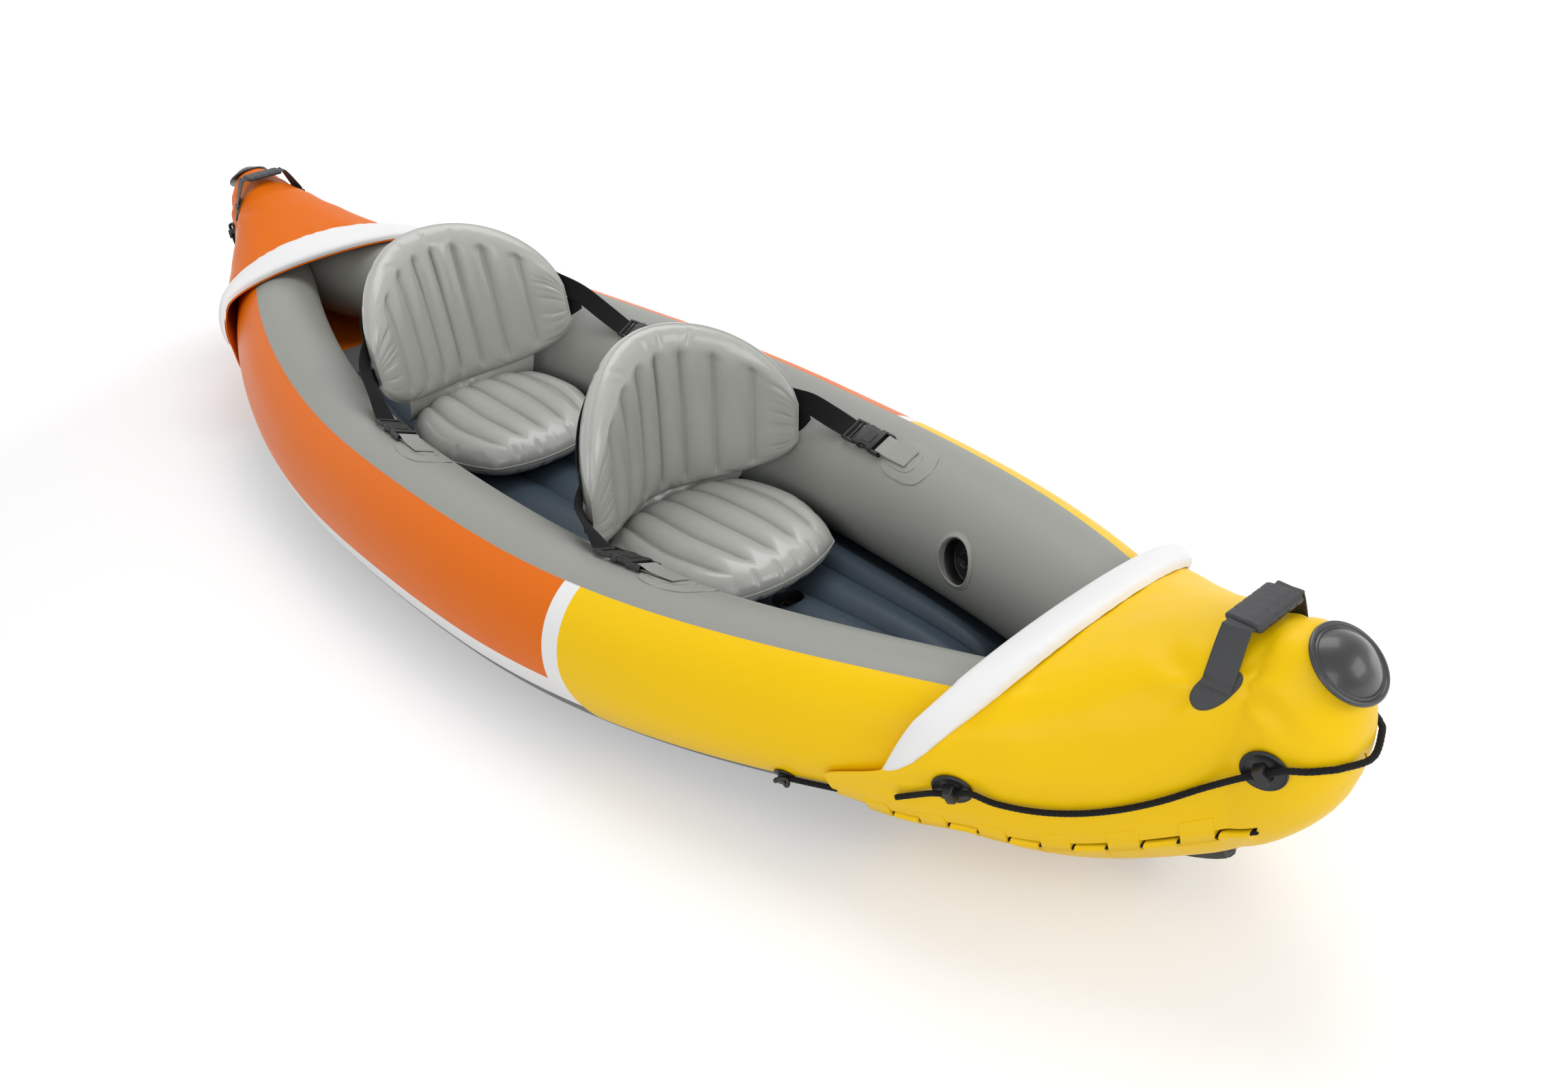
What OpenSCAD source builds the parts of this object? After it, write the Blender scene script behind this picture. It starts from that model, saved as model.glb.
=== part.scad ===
// Inflatable tandem kayak, in millimetres.
// +X points to the bow, +Y to port, +Z up. The origin is amidships, on the ground under the flat bottom.

/* [Hull] */
// Half of the length, from amidships to the nose of a deck cover
half_length = 1505; // [1490:5:1560]
// Beam over the two side tubes
beam = 916; // [880:2:960]
// Diameter of a side tube amidships
tube_d = 246; // [230:2:260]
// Diameter of a side tube where the two meet at an end
tube_end_d = 160; // [140:2:180]
// Distance from the nose back to where the tubes meet on the centreline
nose_l = 105; // [90:5:120]
// Length of the flat bottom amidships
flat_l = 500; // [300:10:700]
// Rise of the tubes from the flat bottom to where they meet
rocker = 78; // [60:1:90]
// Further rise of the upturned tube ends
prow_rise = 118; // [105:1:130]
// Extra half height of the tube ends, pressed against each other
prow_swell = 66; // [50:1:75]
// Thickness of the cut and welded skins
skin_t = 2; // [1.5:0.1:3]

/* [Deck covers] */
// Length of the bow cover along its ridge, from the nose to its cockpit edge
cover_l = 393; // [375:1:415]
// How much nearer amidships the stern cover's edge lies
stern_shift = 44; // [0:2:60]
// How far a cover's edge sweeps aft from its middle to the side of the tube
cover_sweep = 60; // [40:2:80]
// Length of the lobe that runs on aft along the side
lobe_l = 85; // [60:1:100]
// Height of the middle of the cockpit edge
coaming_z = 328; // [315:1:345]
// Room between a tube and its cover
cover_gap = 7; // [6:0.5:9]
// How far a cover stands off the tubes' shoulders at its cockpit edge
cover_bulge = 24; // [10:1:30]
// How far the keel flap hangs under the tubes
keel_sag = 30; // [12:1:34]
// Width of the coaming at its middle
coaming_w = 68; // [50:1:80]
// Height of the coaming over the cover
coaming_h = 25; // [20:1:36]
// Diameter of the nose cap
cap_d = 98; // [85:1:104]
// Height of the nose cap's dome
cap_h = 24; // [15:1:30]

/* [Lacing and ropes] */
// Diameter of the lacing cord
lace_d = 7; // [5:0.5:8]
// Outside diameter of a lacing sleeve
sleeve_d = 15; // [13:0.5:18]
// Length of a lacing sleeve
sleeve_l = 31; // [24:1:32]
// Diameter of the grab line
rope_d = 8; // [6:0.5:9]
// Diameter of a rope holder's base
holder_d = 52; // [44:1:60]
// Height of a rope holder's bridge
holder_h = 17; // [15:0.5:22]

/* [Handles] */
// Distance from the nose back to a carrying handle
handle_back = 135; // [131:1:143]
// Width of the handle's strap
strap_w = 34; // [28:1:40]
// Thickness of the handle's strap
strap_t = 3; // [2:0.2:4]
// Length of the grip
grip_l = 100; // [90:1:110]
// Thickness of the grip
grip_t = 12; // [11:0.5:16]
// Finger room between the cover and the grip
finger_gap = 13; // [12:1:20]

/* [Floor] */
// Half length of the inflated floor
floor_half_l = 900; // [850:5:930]
// Thickness of the floor at the crest of a channel
floor_t = 62; // [50:1:66]
// Number of channels in the floor
floor_channels = 5; // [4:1:6]

/* [Seats] */
// Station of the front seat's fold line
seat_x = 185; // [150:5:220]
// Distance between the two seats
seat_pitch = 700; // [660:5:740]
// Length of a cushion
cushion_l = 366; // [350:2:390]
// Width of a cushion
cushion_w = 350; // [320:2:360]
// Height of a cushion's crown over its seam
cushion_crown = 50; // [40:1:60]
// Depth of a cushion below its seam
cushion_belly = 40; // [30:1:45]
// Number of channels in a cushion
cushion_channels = 6; // [4:1:8]
// Width of a backrest, wing to wing
back_w = 444; // [420:2:450]
// Height of a backrest
back_h = 330; // [300:2:350]
// How far the wings reach forward
back_wrap = 145; // [120:1:155]
// Half thickness of a backrest at the crest of a channel
back_crown = 37; // [30:1:40]
// Number of channels in a backrest
back_channels = 8; // [6:1:9]
// Lean of the front backrest, positive to the bow
front_lean = 7; // [0:1:8]
// Lean of the rear backrest, positive to the bow
rear_lean = -6; // [-12:1:6]

/* [Straps and buckles] */
// Width of the seat webbing
web_w = 38; // [30:1:40]
// Thickness of the seat webbing
web_t = 2; // [1.6:0.1:2.5]
// Distance from a seat's fold line forward to its buckles
buckle_dx = 285; // [270:1:300]
// Angle round the tube of the buckles, inboard of its top
buckle_a = 24; // [18:1:30]
// Width of a buckle
buckle_w = 46; // [44:1:52]
// Thickness of a buckle
buckle_t = 13; // [11:0.5:15]
// Play between a clip and its socket
clip_play = 0.5; // [0.3:0.1:0.8]
// Length of a welded anchor patch
patch_l = 120; // [100:1:130]
// Arc of a welded anchor patch
patch_arc = 40; // [34:1:46]

/* [Valves] */
// Distance from amidships to the side valves
valve_x = 790; // [770:5:810]
// Angle round the tube of a side valve, inboard of its top
valve_a = 76; // [72:1:80]
// Diameter of the pocket of a side valve
valve_d = 74; // [66:1:78]
// Depth of the pocket of a side valve
valve_depth = 30; // [26:1:34]
// Distance from amidships to the floor valve
floor_valve_x = 545; // [540:5:620]
// Diameter of the pocket of the floor valve
floor_valve_d = 52; // [46:1:56]
// Diameter of a valve's plug
plug_d = 30; // [26:1:32]
// Play round a valve's parts
valve_play = 0.3; // [0.2:0.1:0.5]

/* [Skeg] */
// Distance from the nose back to the middle of the skeg
skeg_back = 205; // [190:1:220]
// Length of the skeg's rail
rail_l = 150; // [130:2:170]
// Depth of the skeg's fin under its rail
fin_h = 32; // [26:1:34]
// Thickness of the skeg's fin
fin_t = 6; // [5:0.5:8]
// Play between the skeg and its rail
rail_play = 0.4; // [0.3:0.1:0.6]

/* [Hidden] */
$fn = 48;

pvc_grey = "#9a9b95";
pvc_yellow = "#f5c800";
pvc_orange = "#e07a1c";
pvc_white = "#f2f2ee";
floor_blue = "#3d4a55";
black = "#1c1c1e";
dark_grey = "#3a3b3d";

// Gap left between pieces that lie on each other
seat_gap = 0.3;
tube_r = tube_d / 2;
flat_half = flat_l / 2;
// Room for the tubes' ends inside the nose of a cover
nose_room = 22;
tube_tip = half_length - nose_room;
meet_x = half_length - nose_l;
cover_x = half_length - cover_l;
handle_x = half_length - handle_back;
skeg_x = half_length - skeg_back;
// Where the ends start to round off
round_x = meet_x;
// Where the ends start to turn up
prow_l = 270;
prow_x = meet_x - prow_l;
tube_sides = 24;
tube_steps = 32;

// Smooth rise from 0 to 1
function ease(t) = let (c = max(0, min(1, t))) c * c * (3 - 2 * c);
function unit(v) = v / norm(v);
function mix(a, b, t) = a + (b - a) * t;
// Rounded square: a grid point (u, v) on a shape with corners drawn in by k
function soften(u, v, k) = [u * sqrt(1 - k * v * v), v * sqrt(1 - k * u * u)];
// A row of channels across v from -1 to 1: 1 on the crests, 0 in the creases
function channel(v, count) = pow(abs(sin(90 * count * (v + 1))), 0.7);
// Pillow section: 1 in the middle, 0 at the edges
function puff(u, v) = sqrt(max(0, 1 - pow(abs(u), 4))) * sqrt(max(0, 1 - pow(abs(v), 4)));

// The side tube at a station x
function along(x) = min(1, abs(x) / meet_x);
function prow(x) = ease((abs(x) - prow_x) / (half_length - prow_x));
function past_flat(x) = min(1, max(0, abs(x) - flat_half) / (meet_x - flat_half));
function lift(x) = rocker * (1 - pow(1 - pow(past_flat(x), 2), 2.4));
function girth(x) = mix(tube_r, tube_end_d / 2, pow(along(x), 3));
function tall(x) = girth(x) + prow_swell * sqrt(prow(x));
function rounding(x, tip) = sqrt(max(0, 1 - pow(max(0, abs(x) - round_x) / (tip - round_x), 2)));
// Height of the underside of the bottom skin, which the tubes lie on
function bottom_z(x) = lift(x) + tube_r - girth(x);
function tube_y(x) = (beam / 2 - tube_r) * (1 - pow(along(x), 2.28));
function tube_z(x) = skin_t + seat_gap + tube_r + lift(x) + prow_rise * pow(prow(x), 1.3);
// A point round the port tube: angle a from its top, outboard, at an offset from its surface
function round_pt(x, a, off, tip) =
  [x, tube_y(x) + (girth(x) * rounding(x, tip) + off) * sin(a),
   tube_z(x) + (tall(x) * rounding(x, tip) + off) * cos(a)];
function tube_pt(x, a, off = 0) = round_pt(x, a, off, tube_tip);
// Frame on the port tube's surface: its columns point forward, across and outward
function tube_ahead(x, a) = unit(tube_pt(x + 1, a) - tube_pt(x - 1, a));
function tube_out(x, a) = unit(cross(tube_ahead(x, a), tube_pt(x, a + 1) - tube_pt(x, a - 1)));

// Rings of points joined into one closed solid, with flat ends
module loft(rings) {
  n = len(rings[0]);
  m = len(rings);
  sides = [for (i = [0:m - 2], j = [0:n - 1], k = [0:1])
    let (a = i * n + j, b = i * n + (j + 1) % n)
    k == 0 ? [a, b, b + n] : [a, b + n, a + n]];
  ends = [[for (j = [n - 1:-1:0]) j], [for (j = [0:n - 1]) (m - 1) * n + j]];
  polyhedron([for (r = rings, p = r) p], concat(sides, ends));
}

// Rings that go out along a skin's outer face and back along its inner face
module shell(rings) {
  n = len(rings[0]);
  m = len(rings);
  h = n / 2;
  last = (m - 1) * n;
  sides = [for (i = [0:m - 2], j = [0:n - 1], k = [0:1])
    let (a = i * n + j, b = i * n + (j + 1) % n)
    k == 0 ? [a, b, b + n] : [a, b + n, a + n]];
  first_end = [for (j = [0:h - 2], k = [0:1])
    k == 0 ? [j, n - 1 - j, j + 1] : [j + 1, n - 1 - j, n - 2 - j]];
  last_end = [for (j = [0:h - 2], k = [0:1])
    k == 0 ? [last + j, last + j + 1, last + n - 1 - j] : [last + j + 1, last + n - 2 - j, last + n - 1 - j]];
  polyhedron([for (r = rings, p = r) p], concat(sides, first_end, last_end));
}

// Two grids of points, a face and a back, closed along their edges
module pillow(face, back) {
  m = len(face) - 1;
  n = len(face[0]) - 1;
  w = n + 1;
  base = (m + 1) * w;
  fronts = [for (i = [0:m - 1], j = [0:n - 1], k = [0:3])
    let (a = i * w + j, b = a + w)
    k == 0 ? [a, a + 1, b + 1] : k == 1 ? [a, b + 1, b]
    : k == 2 ? [base + a, base + b + 1, base + a + 1] : [base + a, base + b, base + b + 1]];
  low_side = [for (i = [0:m - 1], k = [0:1]) let (a = i * w, b = a + w)
    k == 0 ? [a, b, base + b] : [a, base + b, base + a]];
  high_side = [for (i = [0:m - 1], k = [0:1]) let (a = i * w + n, b = a + w)
    k == 0 ? [b, a, base + b] : [a, base + a, base + b]];
  first_side = [for (j = [0:n - 1], k = [0:1])
    k == 0 ? [j + 1, j, base + j] : [j + 1, base + j, base + j + 1]];
  last_side = [for (j = [0:n - 1], k = [0:1]) let (a = m * w + j)
    k == 0 ? [a, a + 1, base + a + 1] : [a, base + a + 1, base + a]];
  points = [for (g = [face, back], r = g, p = r) p];
  polyhedron(points, concat(fronts, low_side, high_side, first_side, last_side));
}

// A flat band through points, with its width along the given directions
module band(points, across, width, thick) {
  m = len(points) - 1;
  rings = [for (i = [0:m])
    let (t = unit(points[min(m, i + 1)] - points[max(0, i - 1)]),
         n = unit(cross(t, across[i])), w = cross(n, t))
    [points[i] + w * width / 2 + n * thick / 2, points[i] + w * width / 2 - n * thick / 2,
     points[i] - w * width / 2 - n * thick / 2, points[i] - w * width / 2 + n * thick / 2]];
  loft(rings);
}

module place(o, ex, ey, ez) {
  multmatrix([[ex.x, ey.x, ez.x, o.x], [ex.y, ey.y, ez.y, o.y], [ex.z, ey.z, ez.z, o.z], [0, 0, 0, 1]])
    children();
}
// Stands its children on the port tube, +X forward and +Z outward
module on_tube(x, a, off) {
  ex = tube_ahead(x, a);
  ez = tube_out(x, a);
  place(tube_pt(x, a, off), ex, cross(ez, ex), ez) children();
}
module port_and_starboard() {
  children();
  mirror([0, 1, 0]) children();
}
module slab(size, r) {
  linear_extrude(size.z) offset(r, $fn = 16) square([size.x - 2 * r, size.y - 2 * r], center = true);
}

// Side tubes: each is pressed flat against the other along the centreline
tube_ring_a = [for (j = [0:tube_sides - 1]) j * 360 / tube_sides];
tube_rings = [for (i = [0:tube_steps])
  let (x = tube_tip * sin(88.5 * (2 * i / tube_steps - 1)))
  [for (a = tube_ring_a) let (p = tube_pt(x, a)) [p.x, max(seat_gap / 2, p.y), p.z]]];
module side_tube() {
  difference() {
    loft(tube_rings);
    on_tube(valve_x, -valve_a, 0) translate([0, 0, -valve_depth]) cylinder(d = valve_d, h = 2 * valve_depth);
  }
}
module port_tube() { color(pvc_grey) side_tube(); }
module starboard_tube() { color(pvc_grey) mirror([0, 1, 0]) side_tube(); }

// Floor: inflated channels between the tubes, on the bottom skin
floor_steps = 16;
floor_cells = 4 * floor_channels;
floor_end_t = 14;
floor_edge = 0.86;
floor_brim = 0.95;
tube_room = 6;
function floor_z(x) = skin_t + seat_gap + bottom_z(x);
function floor_end(x) = sqrt(max(0, 1 - pow(abs(x) / floor_half_l, 12)));
function floor_top(x) = floor_z(x) + floor_t;
// How far out the floor can reach at a height z before it meets the tube
function floor_half_w(x, z) = tube_y(x) - tube_room - sqrt(max(0, pow(girth(x), 2) - pow(tube_z(x) - z, 2)));
function floor_side(v) = mix(1, 0.3, ease((abs(v) - floor_edge) / (1 - floor_edge)));
function floor_high(x, v) = mix(floor_end_t, floor_t, floor_end(x))
  * floor_side(v) * (1 - 0.22 * (1 - channel(v, floor_channels)) * ease((1 - abs(v)) * 8));
floor_grid_x = [for (i = [0:floor_steps]) floor_half_l * sin(90 * (2 * i / floor_steps - 1))];
floor_mid_v = [for (j = [1:floor_cells - 1]) 2 * j / floor_cells - 1];
floor_grid_v = concat([-1, -floor_brim], floor_mid_v, [floor_brim, 1]);
module floor_body() {
  face = [for (x = floor_grid_x) [for (v = floor_grid_v)
    let (z = floor_z(x) + floor_high(x, v)) [x, v * floor_half_w(x, z), z]]];
  back = [for (x = floor_grid_x) [for (v = floor_grid_v)
    [x, v * floor_half_w(x, floor_z(x) + 0.5 * floor_high(x, 1)), floor_z(x)]]];
  pillow(face, back);
}
floor_valve_z = floor_top(floor_valve_x) - 4;
floor_valve_depth = 26;
module floor() {
  color(floor_blue) difference() {
    floor_body();
    translate([floor_valve_x, 0, floor_valve_z - floor_valve_depth])
      cylinder(d = floor_valve_d, h = 2 * floor_valve_depth);
  }
}

// Bottom skin: flat amidships, rising with the tubes to the keel flaps
keel_l = 515;
keel_start = half_length - keel_l;
skin_lap = 60;
skin_steps = 10;
module bottom_skin() {
  half = [for (i = [0:skin_steps]) mix(flat_half, keel_start + skin_lap, i / skin_steps)];
  xs = concat([for (i = [skin_steps:-1:0]) -half[i]], half);
  rings = [for (x = xs) let (y = tube_y(x), z = bottom_z(x))
    [[x, -y, z + skin_t], [x, y, z + skin_t], [x, y, z], [x, -y, z]]];
  color(dark_grey) loft(rings);
}

// Deck cover: over the two tubes to a ridge, and down round their sides to the lacing
shoulder_a = 50;
lace_a = 137;
lobe_w = 0.7;
cover_steps = 15;
cover_cells = 24;
cap_lean = 54;
cap_cut = 7;
ridge_bend = 1.15;
sag_l = 575;
sag_x = half_length - sag_l;
function ridge_end(x) = tube_z(x) + tall(x) * rounding(x, half_length) + cover_gap;
function ridge(x) = abs(x) >= round_x ? ridge_end(x)
  : let (t = (round_x - abs(x)) / (round_x - cover_x))
    ridge_end(round_x) - (ridge_end(round_x) - coaming_z) * pow(t, ridge_bend);
// Angle that half a lacing sleeve takes up round the tube
function sleeve_turn(x) = (sleeve_d / 2 + 2 * seat_gap) / (girth(x) + cover_gap) * 180 / PI;
function cover_low_a(x) = lace_a - sleeve_turn(x);
// The line that the covers and keel flaps follow round the tubes: it hangs off them on the underside
sag_start_a = 100;
sag_ramp = 150;
sag_nose = 20;
sag_nose_ramp = 120;
function sag_along(x) =
  ease((abs(x) - sag_x) / sag_ramp) * ease((half_length - sag_nose - abs(x)) / sag_nose_ramp);
function sag(x, a) = keel_sag * ease((a - sag_start_a) / (180 - sag_start_a)) * sag_along(x);
function skin_pt(x, a, off) = round_pt(x, a, cover_gap + sag(x, a) + off, half_length);
function bulge(x, w) = cover_bulge * ease((round_x - abs(x)) / (round_x - cover_x)) * ease((0.85 - w) / 0.35);
function cover_flank(x, w, off) =
  skin_pt(x, mix(shoulder_a, cover_low_a(x), 2 * w - 1), bulge(x, w) + off);
function cover_arch(x, w, off) =
  let (s = cover_flank(x, 0.5, off), top = ridge(x) + off, t = 2 * w,
       c = max(0.25 * s.y, s.y - (top - s.z) * girth(x) / tall(x) / tan(shoulder_a)))
  [x, 2 * t * (1 - t) * c + t * t * s.y, (1 - t * t) * top + t * t * s.z];
// Half of a cover's section, w from 0 on the ridge to 1 at the lacing
function cover_half(x, w, off) = w > 0.5 ? cover_flank(x, w, off) : cover_arch(x, w, off);
cap_n = [cos(cap_lean), 0, sin(cap_lean)];
// The nose is pressed flat where its cap sits: the cap's middle is where the ridge faces as the cap does
cap_turn = atan(tall(half_length) / (half_length - round_x) / tan(cap_lean));
cap_x = round_x + (half_length - round_x) * sin(cap_turn);
cap_c = [cap_x, 0, ridge_end(cap_x)] - cap_cut * cap_n;
function press(p, off) = p - max(0, (p - cap_c) * cap_n - off) * cap_n;
function cover_pt(x, w, off = 0) =
  let (p = press(cover_half(x, abs(w), off), off)) [p.x, (w < 0 ? -1 : 1) * p.y, p.z];
function cover_edge(w, shift) = cover_x - shift - cover_sweep * pow(min(1, abs(w) / lobe_w), 2)
  - (lobe_l - shift) * ease((abs(w) - lobe_w) / 0.12);
function cover_ahead(x, w) = unit(cover_pt(x + 1, w) - cover_pt(x - 1, w));
function cover_out(x, w) = unit(cross(cover_ahead(x, w), cover_pt(x, w + 0.01) - cover_pt(x, w - 0.01)));
cover_w = [for (j = [0:cover_cells]) 2 * j / cover_cells - 1];
module deck(shift) {
  rings = [for (i = [0:cover_steps])
    let (t = sin(90 * i / cover_steps))
    concat([for (w = cover_w) cover_pt(mix(cover_edge(w, shift), half_length, t), w)],
           [for (j = [cover_cells:-1:0]) let (w = cover_w[j])
             cover_pt(mix(cover_edge(w, shift), half_length, t), w, -skin_t)])];
  shell(rings);
}
module bow_deck() { color(pvc_yellow) deck(0); }
module stern_deck() { color(pvc_orange) mirror([1, 0, 0]) deck(stern_shift); }

// Stands its children on a cover, +X forward and +Z outward
module on_cover(x, w, off) {
  ex = cover_ahead(x, w);
  ez = cover_out(x, w);
  place(cover_pt(x, w) + off * ez, ex, cross(ez, ex), ez) children();
}

// Coaming: an inflated crescent along the cockpit edge of a cover
coaming_steps = 22;
coaming_cells = 6;
coaming_gap = 1.5;
function coaming_share(w) = sqrt(max(0.004, 1 - pow(w / lobe_w, 2)));
function coaming_puff(w) = sqrt(max(0.004, 1 - pow(w / lobe_w, 4)));
module coaming(shift) {
  rings = [for (i = [0:coaming_steps])
    let (w = lobe_w * 0.995 * sin(90 * (2 * i / coaming_steps - 1)),
         half_w = coaming_w / 2 * coaming_share(w), x = cover_edge(w, shift) + half_w + 1,
         n = cover_out(x, w), h = coaming_h * coaming_puff(w))
    concat([for (j = [0:coaming_cells]) let (f = 180 * j / coaming_cells)
             cover_pt(x + half_w * cos(f), w) + n * (coaming_gap + h * sin(f))],
           [for (k = [-0.5, 0, 0.5]) cover_pt(x + half_w * k, w) + n * coaming_gap])];
  loft(rings);
}
module bow_coaming() { color(pvc_white) coaming(0); }
module stern_coaming() { color(pvc_white) mirror([1, 0, 0]) coaming(stern_shift); }

// Keel flap: under the tube ends, from lacing to lacing
keel_steps = 10;
keel_cells = 14;
keel_mid = 0.3;
keel_over = 38;
keel_end = round_x + keel_over;
function keel_high_a(x) = lace_a + sleeve_turn(x);
function keel_pt(x, w, off) =
  let (u = abs(w), s = w < 0 ? -1 : 1,
       p = skin_pt(x, mix(180, keel_high_a(x), max(0, u - keel_mid) / (1 - keel_mid)), off))
  [x, s * p.y * min(1, u / keel_mid), p.z];
module keel_flap() {
  rings = [for (i = [0:keel_steps])
    let (x = mix(keel_start + seat_gap, keel_end, i / keel_steps))
    concat([for (j = [keel_cells:-1:0]) keel_pt(x, 2 * j / keel_cells - 1, 0)],
           [for (j = [0:keel_cells]) keel_pt(x, 2 * j / keel_cells - 1, -skin_t)])];
  shell(rings);
}
module bow_keel_flap() { color(pvc_yellow) keel_flap(); }
module stern_keel_flap() { color(pvc_orange) mirror([1, 0, 0]) keel_flap(); }

// Lacing: one cord a side, through sleeves that belong in turn to the cover and to the keel flap
lace_back = 505;
lace_front = 75;
lace_start = half_length - lace_back;
lace_end = half_length - lace_front;
lace_steps = 24;
lace_sides = 5;
sleeve_count = 12;
sleeve_gap = 4;
sleeve_play = 1.8;
function lace_pt(x) = skin_pt(x, lace_a, -skin_t / 2);
// A tube of diameter d through points, with sides that stay upright
module cord(points, d, sides) {
  m = len(points) - 1;
  rings = [for (i = [0:m])
    let (t = unit(points[min(m, i + 1)] - points[max(0, i - 1)]),
         side = unit(cross([0, 0, 1], t)), up = cross(t, side))
    [for (j = [0:sides - 1]) let (f = 360 * j / sides) points[i] + d / 2 * (up * cos(f) + side * sin(f))]];
  loft(rings);
}
module lacing() {
  port_and_starboard()
    cord([for (i = [0:lace_steps]) lace_pt(mix(lace_start, lace_end, i / lace_steps))], lace_d, lace_sides);
}
module lacing_sleeves(parity) {
  pitch = (lace_end - lace_start - 2 * sleeve_gap) / sleeve_count;
  port_and_starboard() for (i = [parity:2:sleeve_count - 1]) {
    x = lace_start + sleeve_gap + pitch * (i + 0.5);
    ex = unit(lace_pt(x + sleeve_l / 2) - lace_pt(x - sleeve_l / 2));
    ey = unit(cross([0, 0, 1], ex));
    o = mix(lace_pt(x), (lace_pt(x + sleeve_l / 2) + lace_pt(x - sleeve_l / 2)) / 2, 0.5);
    place(o, ex, ey, cross(ex, ey)) rotate([0, 90, 0]) difference() {
      cylinder(d = sleeve_d, h = sleeve_l, center = true);
      cylinder(d = lace_d + sleeve_play, h = sleeve_l + 2, center = true);
    }
  }
}
module bow_lacing() { color(black) lacing(); }
module stern_lacing() { color(black) mirror([1, 0, 0]) lacing(); }
module bow_deck_tabs() { color(pvc_yellow) lacing_sleeves(0); }
module stern_deck_tabs() { color(pvc_orange) mirror([1, 0, 0]) lacing_sleeves(0); }
module bow_keel_tabs() { color(pvc_yellow) lacing_sleeves(1); }
module stern_keel_tabs() { color(pvc_orange) mirror([1, 0, 0]) lacing_sleeves(1); }

// Nose cap: a dome in a stepped rim
rim_h = 4;
rim_w = 9;
module nose_cap() {
  ball_r = (pow(cap_d / 2 - rim_w, 2) + pow(cap_h - rim_h, 2)) / (2 * (cap_h - rim_h));
  arc = asin((cap_d / 2 - rim_w) / ball_r);
  dome = [for (i = [0:12]) let (a = arc * (1 - i / 12))
    [ball_r * sin(a), cap_h - ball_r + ball_r * cos(a)]];
  place(cap_c + seat_gap * cap_n, cross([0, 1, 0], cap_n), [0, 1, 0], cap_n)
    rotate_extrude() polygon(concat([[0, 0], [cap_d / 2, 0], [cap_d / 2, rim_h - 1], [cap_d / 2 - 1, rim_h],
      [cap_d / 2 - rim_w + 1, rim_h]], dome));
}
module bow_nose_cap() { color(dark_grey) nose_cap(); }
module stern_nose_cap() { color(dark_grey) mirror([1, 0, 0]) nose_cap(); }

// Carrying handle: a strap bonded to two round patches, with a grip over its middle
handle_w = 0.45;
handle_patch_d = 42;
handle_patch_t = 2;
handle_patch_gap = 1;
grip_z = ridge(handle_x) + finger_gap + grip_t / 2;
handle_arc = norm(cover_pt(handle_x, handle_w + 0.05) - cover_pt(handle_x, handle_w - 0.05)) / 0.1;
function handle_patch_pt(q, off) =
  let (x = handle_x + handle_patch_d / 2 * q.x, w = handle_w + handle_patch_d / 2 / handle_arc * q.y)
  cover_pt(x, w) + off * cover_out(x, w);
handle_grid = [for (i = [0:5]) sin(90 * (i / 2.5 - 1))];
function handle_patch_face(off) =
  [for (u = handle_grid) [for (v = handle_grid) handle_patch_pt(soften(u, v, 0.5), off)]];
module handle_patches() {
  port_and_starboard()
    pillow(handle_patch_face(handle_patch_gap + handle_patch_t), handle_patch_face(handle_patch_gap));
}
// Places of the strap's bonded foot, across the cover from its patch's middle
handle_foot = [0.06, 0.03, 0, -0.03, -0.05];
knee_out = 4;
knee_drop = 3;
module handle_strap() {
  lift_off = handle_patch_gap + handle_patch_t + 4 * seat_gap + strap_t / 2;
  feet = [for (f = handle_foot)
    cover_pt(handle_x, handle_w + f) + lift_off * cover_out(handle_x, handle_w + f)];
  ahead = cover_ahead(handle_x, handle_w);
  knee = [handle_x, grip_l / 2 + knee_out, grip_z - knee_drop];
  half = concat(feet, [knee, [handle_x, grip_l / 2 - 2 * knee_out, grip_z]]);
  turn = concat([for (f = handle_foot) cover_ahead(handle_x, handle_w + f)],
    [unit(mix(ahead, [1, 0, 0], 0.7)), [1, 0, 0]]);
  m = len(half) - 1;
  band(concat(half, [for (i = [m:-1:0]) [half[i].x, -half[i].y, half[i].z]]),
       concat(turn, [for (i = [m:-1:0]) [turn[i].x, -turn[i].y, turn[i].z]]), strap_w, strap_t);
}
module handle_grip() {
  r = grip_t / 2 - 0.5;
  translate([handle_x, grip_l / 2 - 10, grip_z]) rotate([90, 0, 0])
    linear_extrude(grip_l - 20) difference() {
      offset(r) square([strap_w + 8 + grip_t - 2 * r - 8, grip_t - 2 * r], center = true);
      square([strap_w + 2 * seat_gap, strap_t + 2 * seat_gap], center = true);
    }
}
module bow_handle_patches() { color(dark_grey) handle_patches(); }
module stern_handle_patches() { color(dark_grey) mirror([1, 0, 0]) handle_patches(); }
module bow_handle_strap() { color(dark_grey) handle_strap(); }
module stern_handle_strap() { color(dark_grey) mirror([1, 0, 0]) handle_strap(); }
module bow_handle_grip() { color(dark_grey) handle_grip(); }
module stern_handle_grip() { color(dark_grey) mirror([1, 0, 0]) handle_grip(); }

// Rope holders: a disc and a bridge that the grab line runs through
holder_base_t = 4;
holder_block_l = 16;
holder_block_w = 24;
holder_turn = -14;
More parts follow.
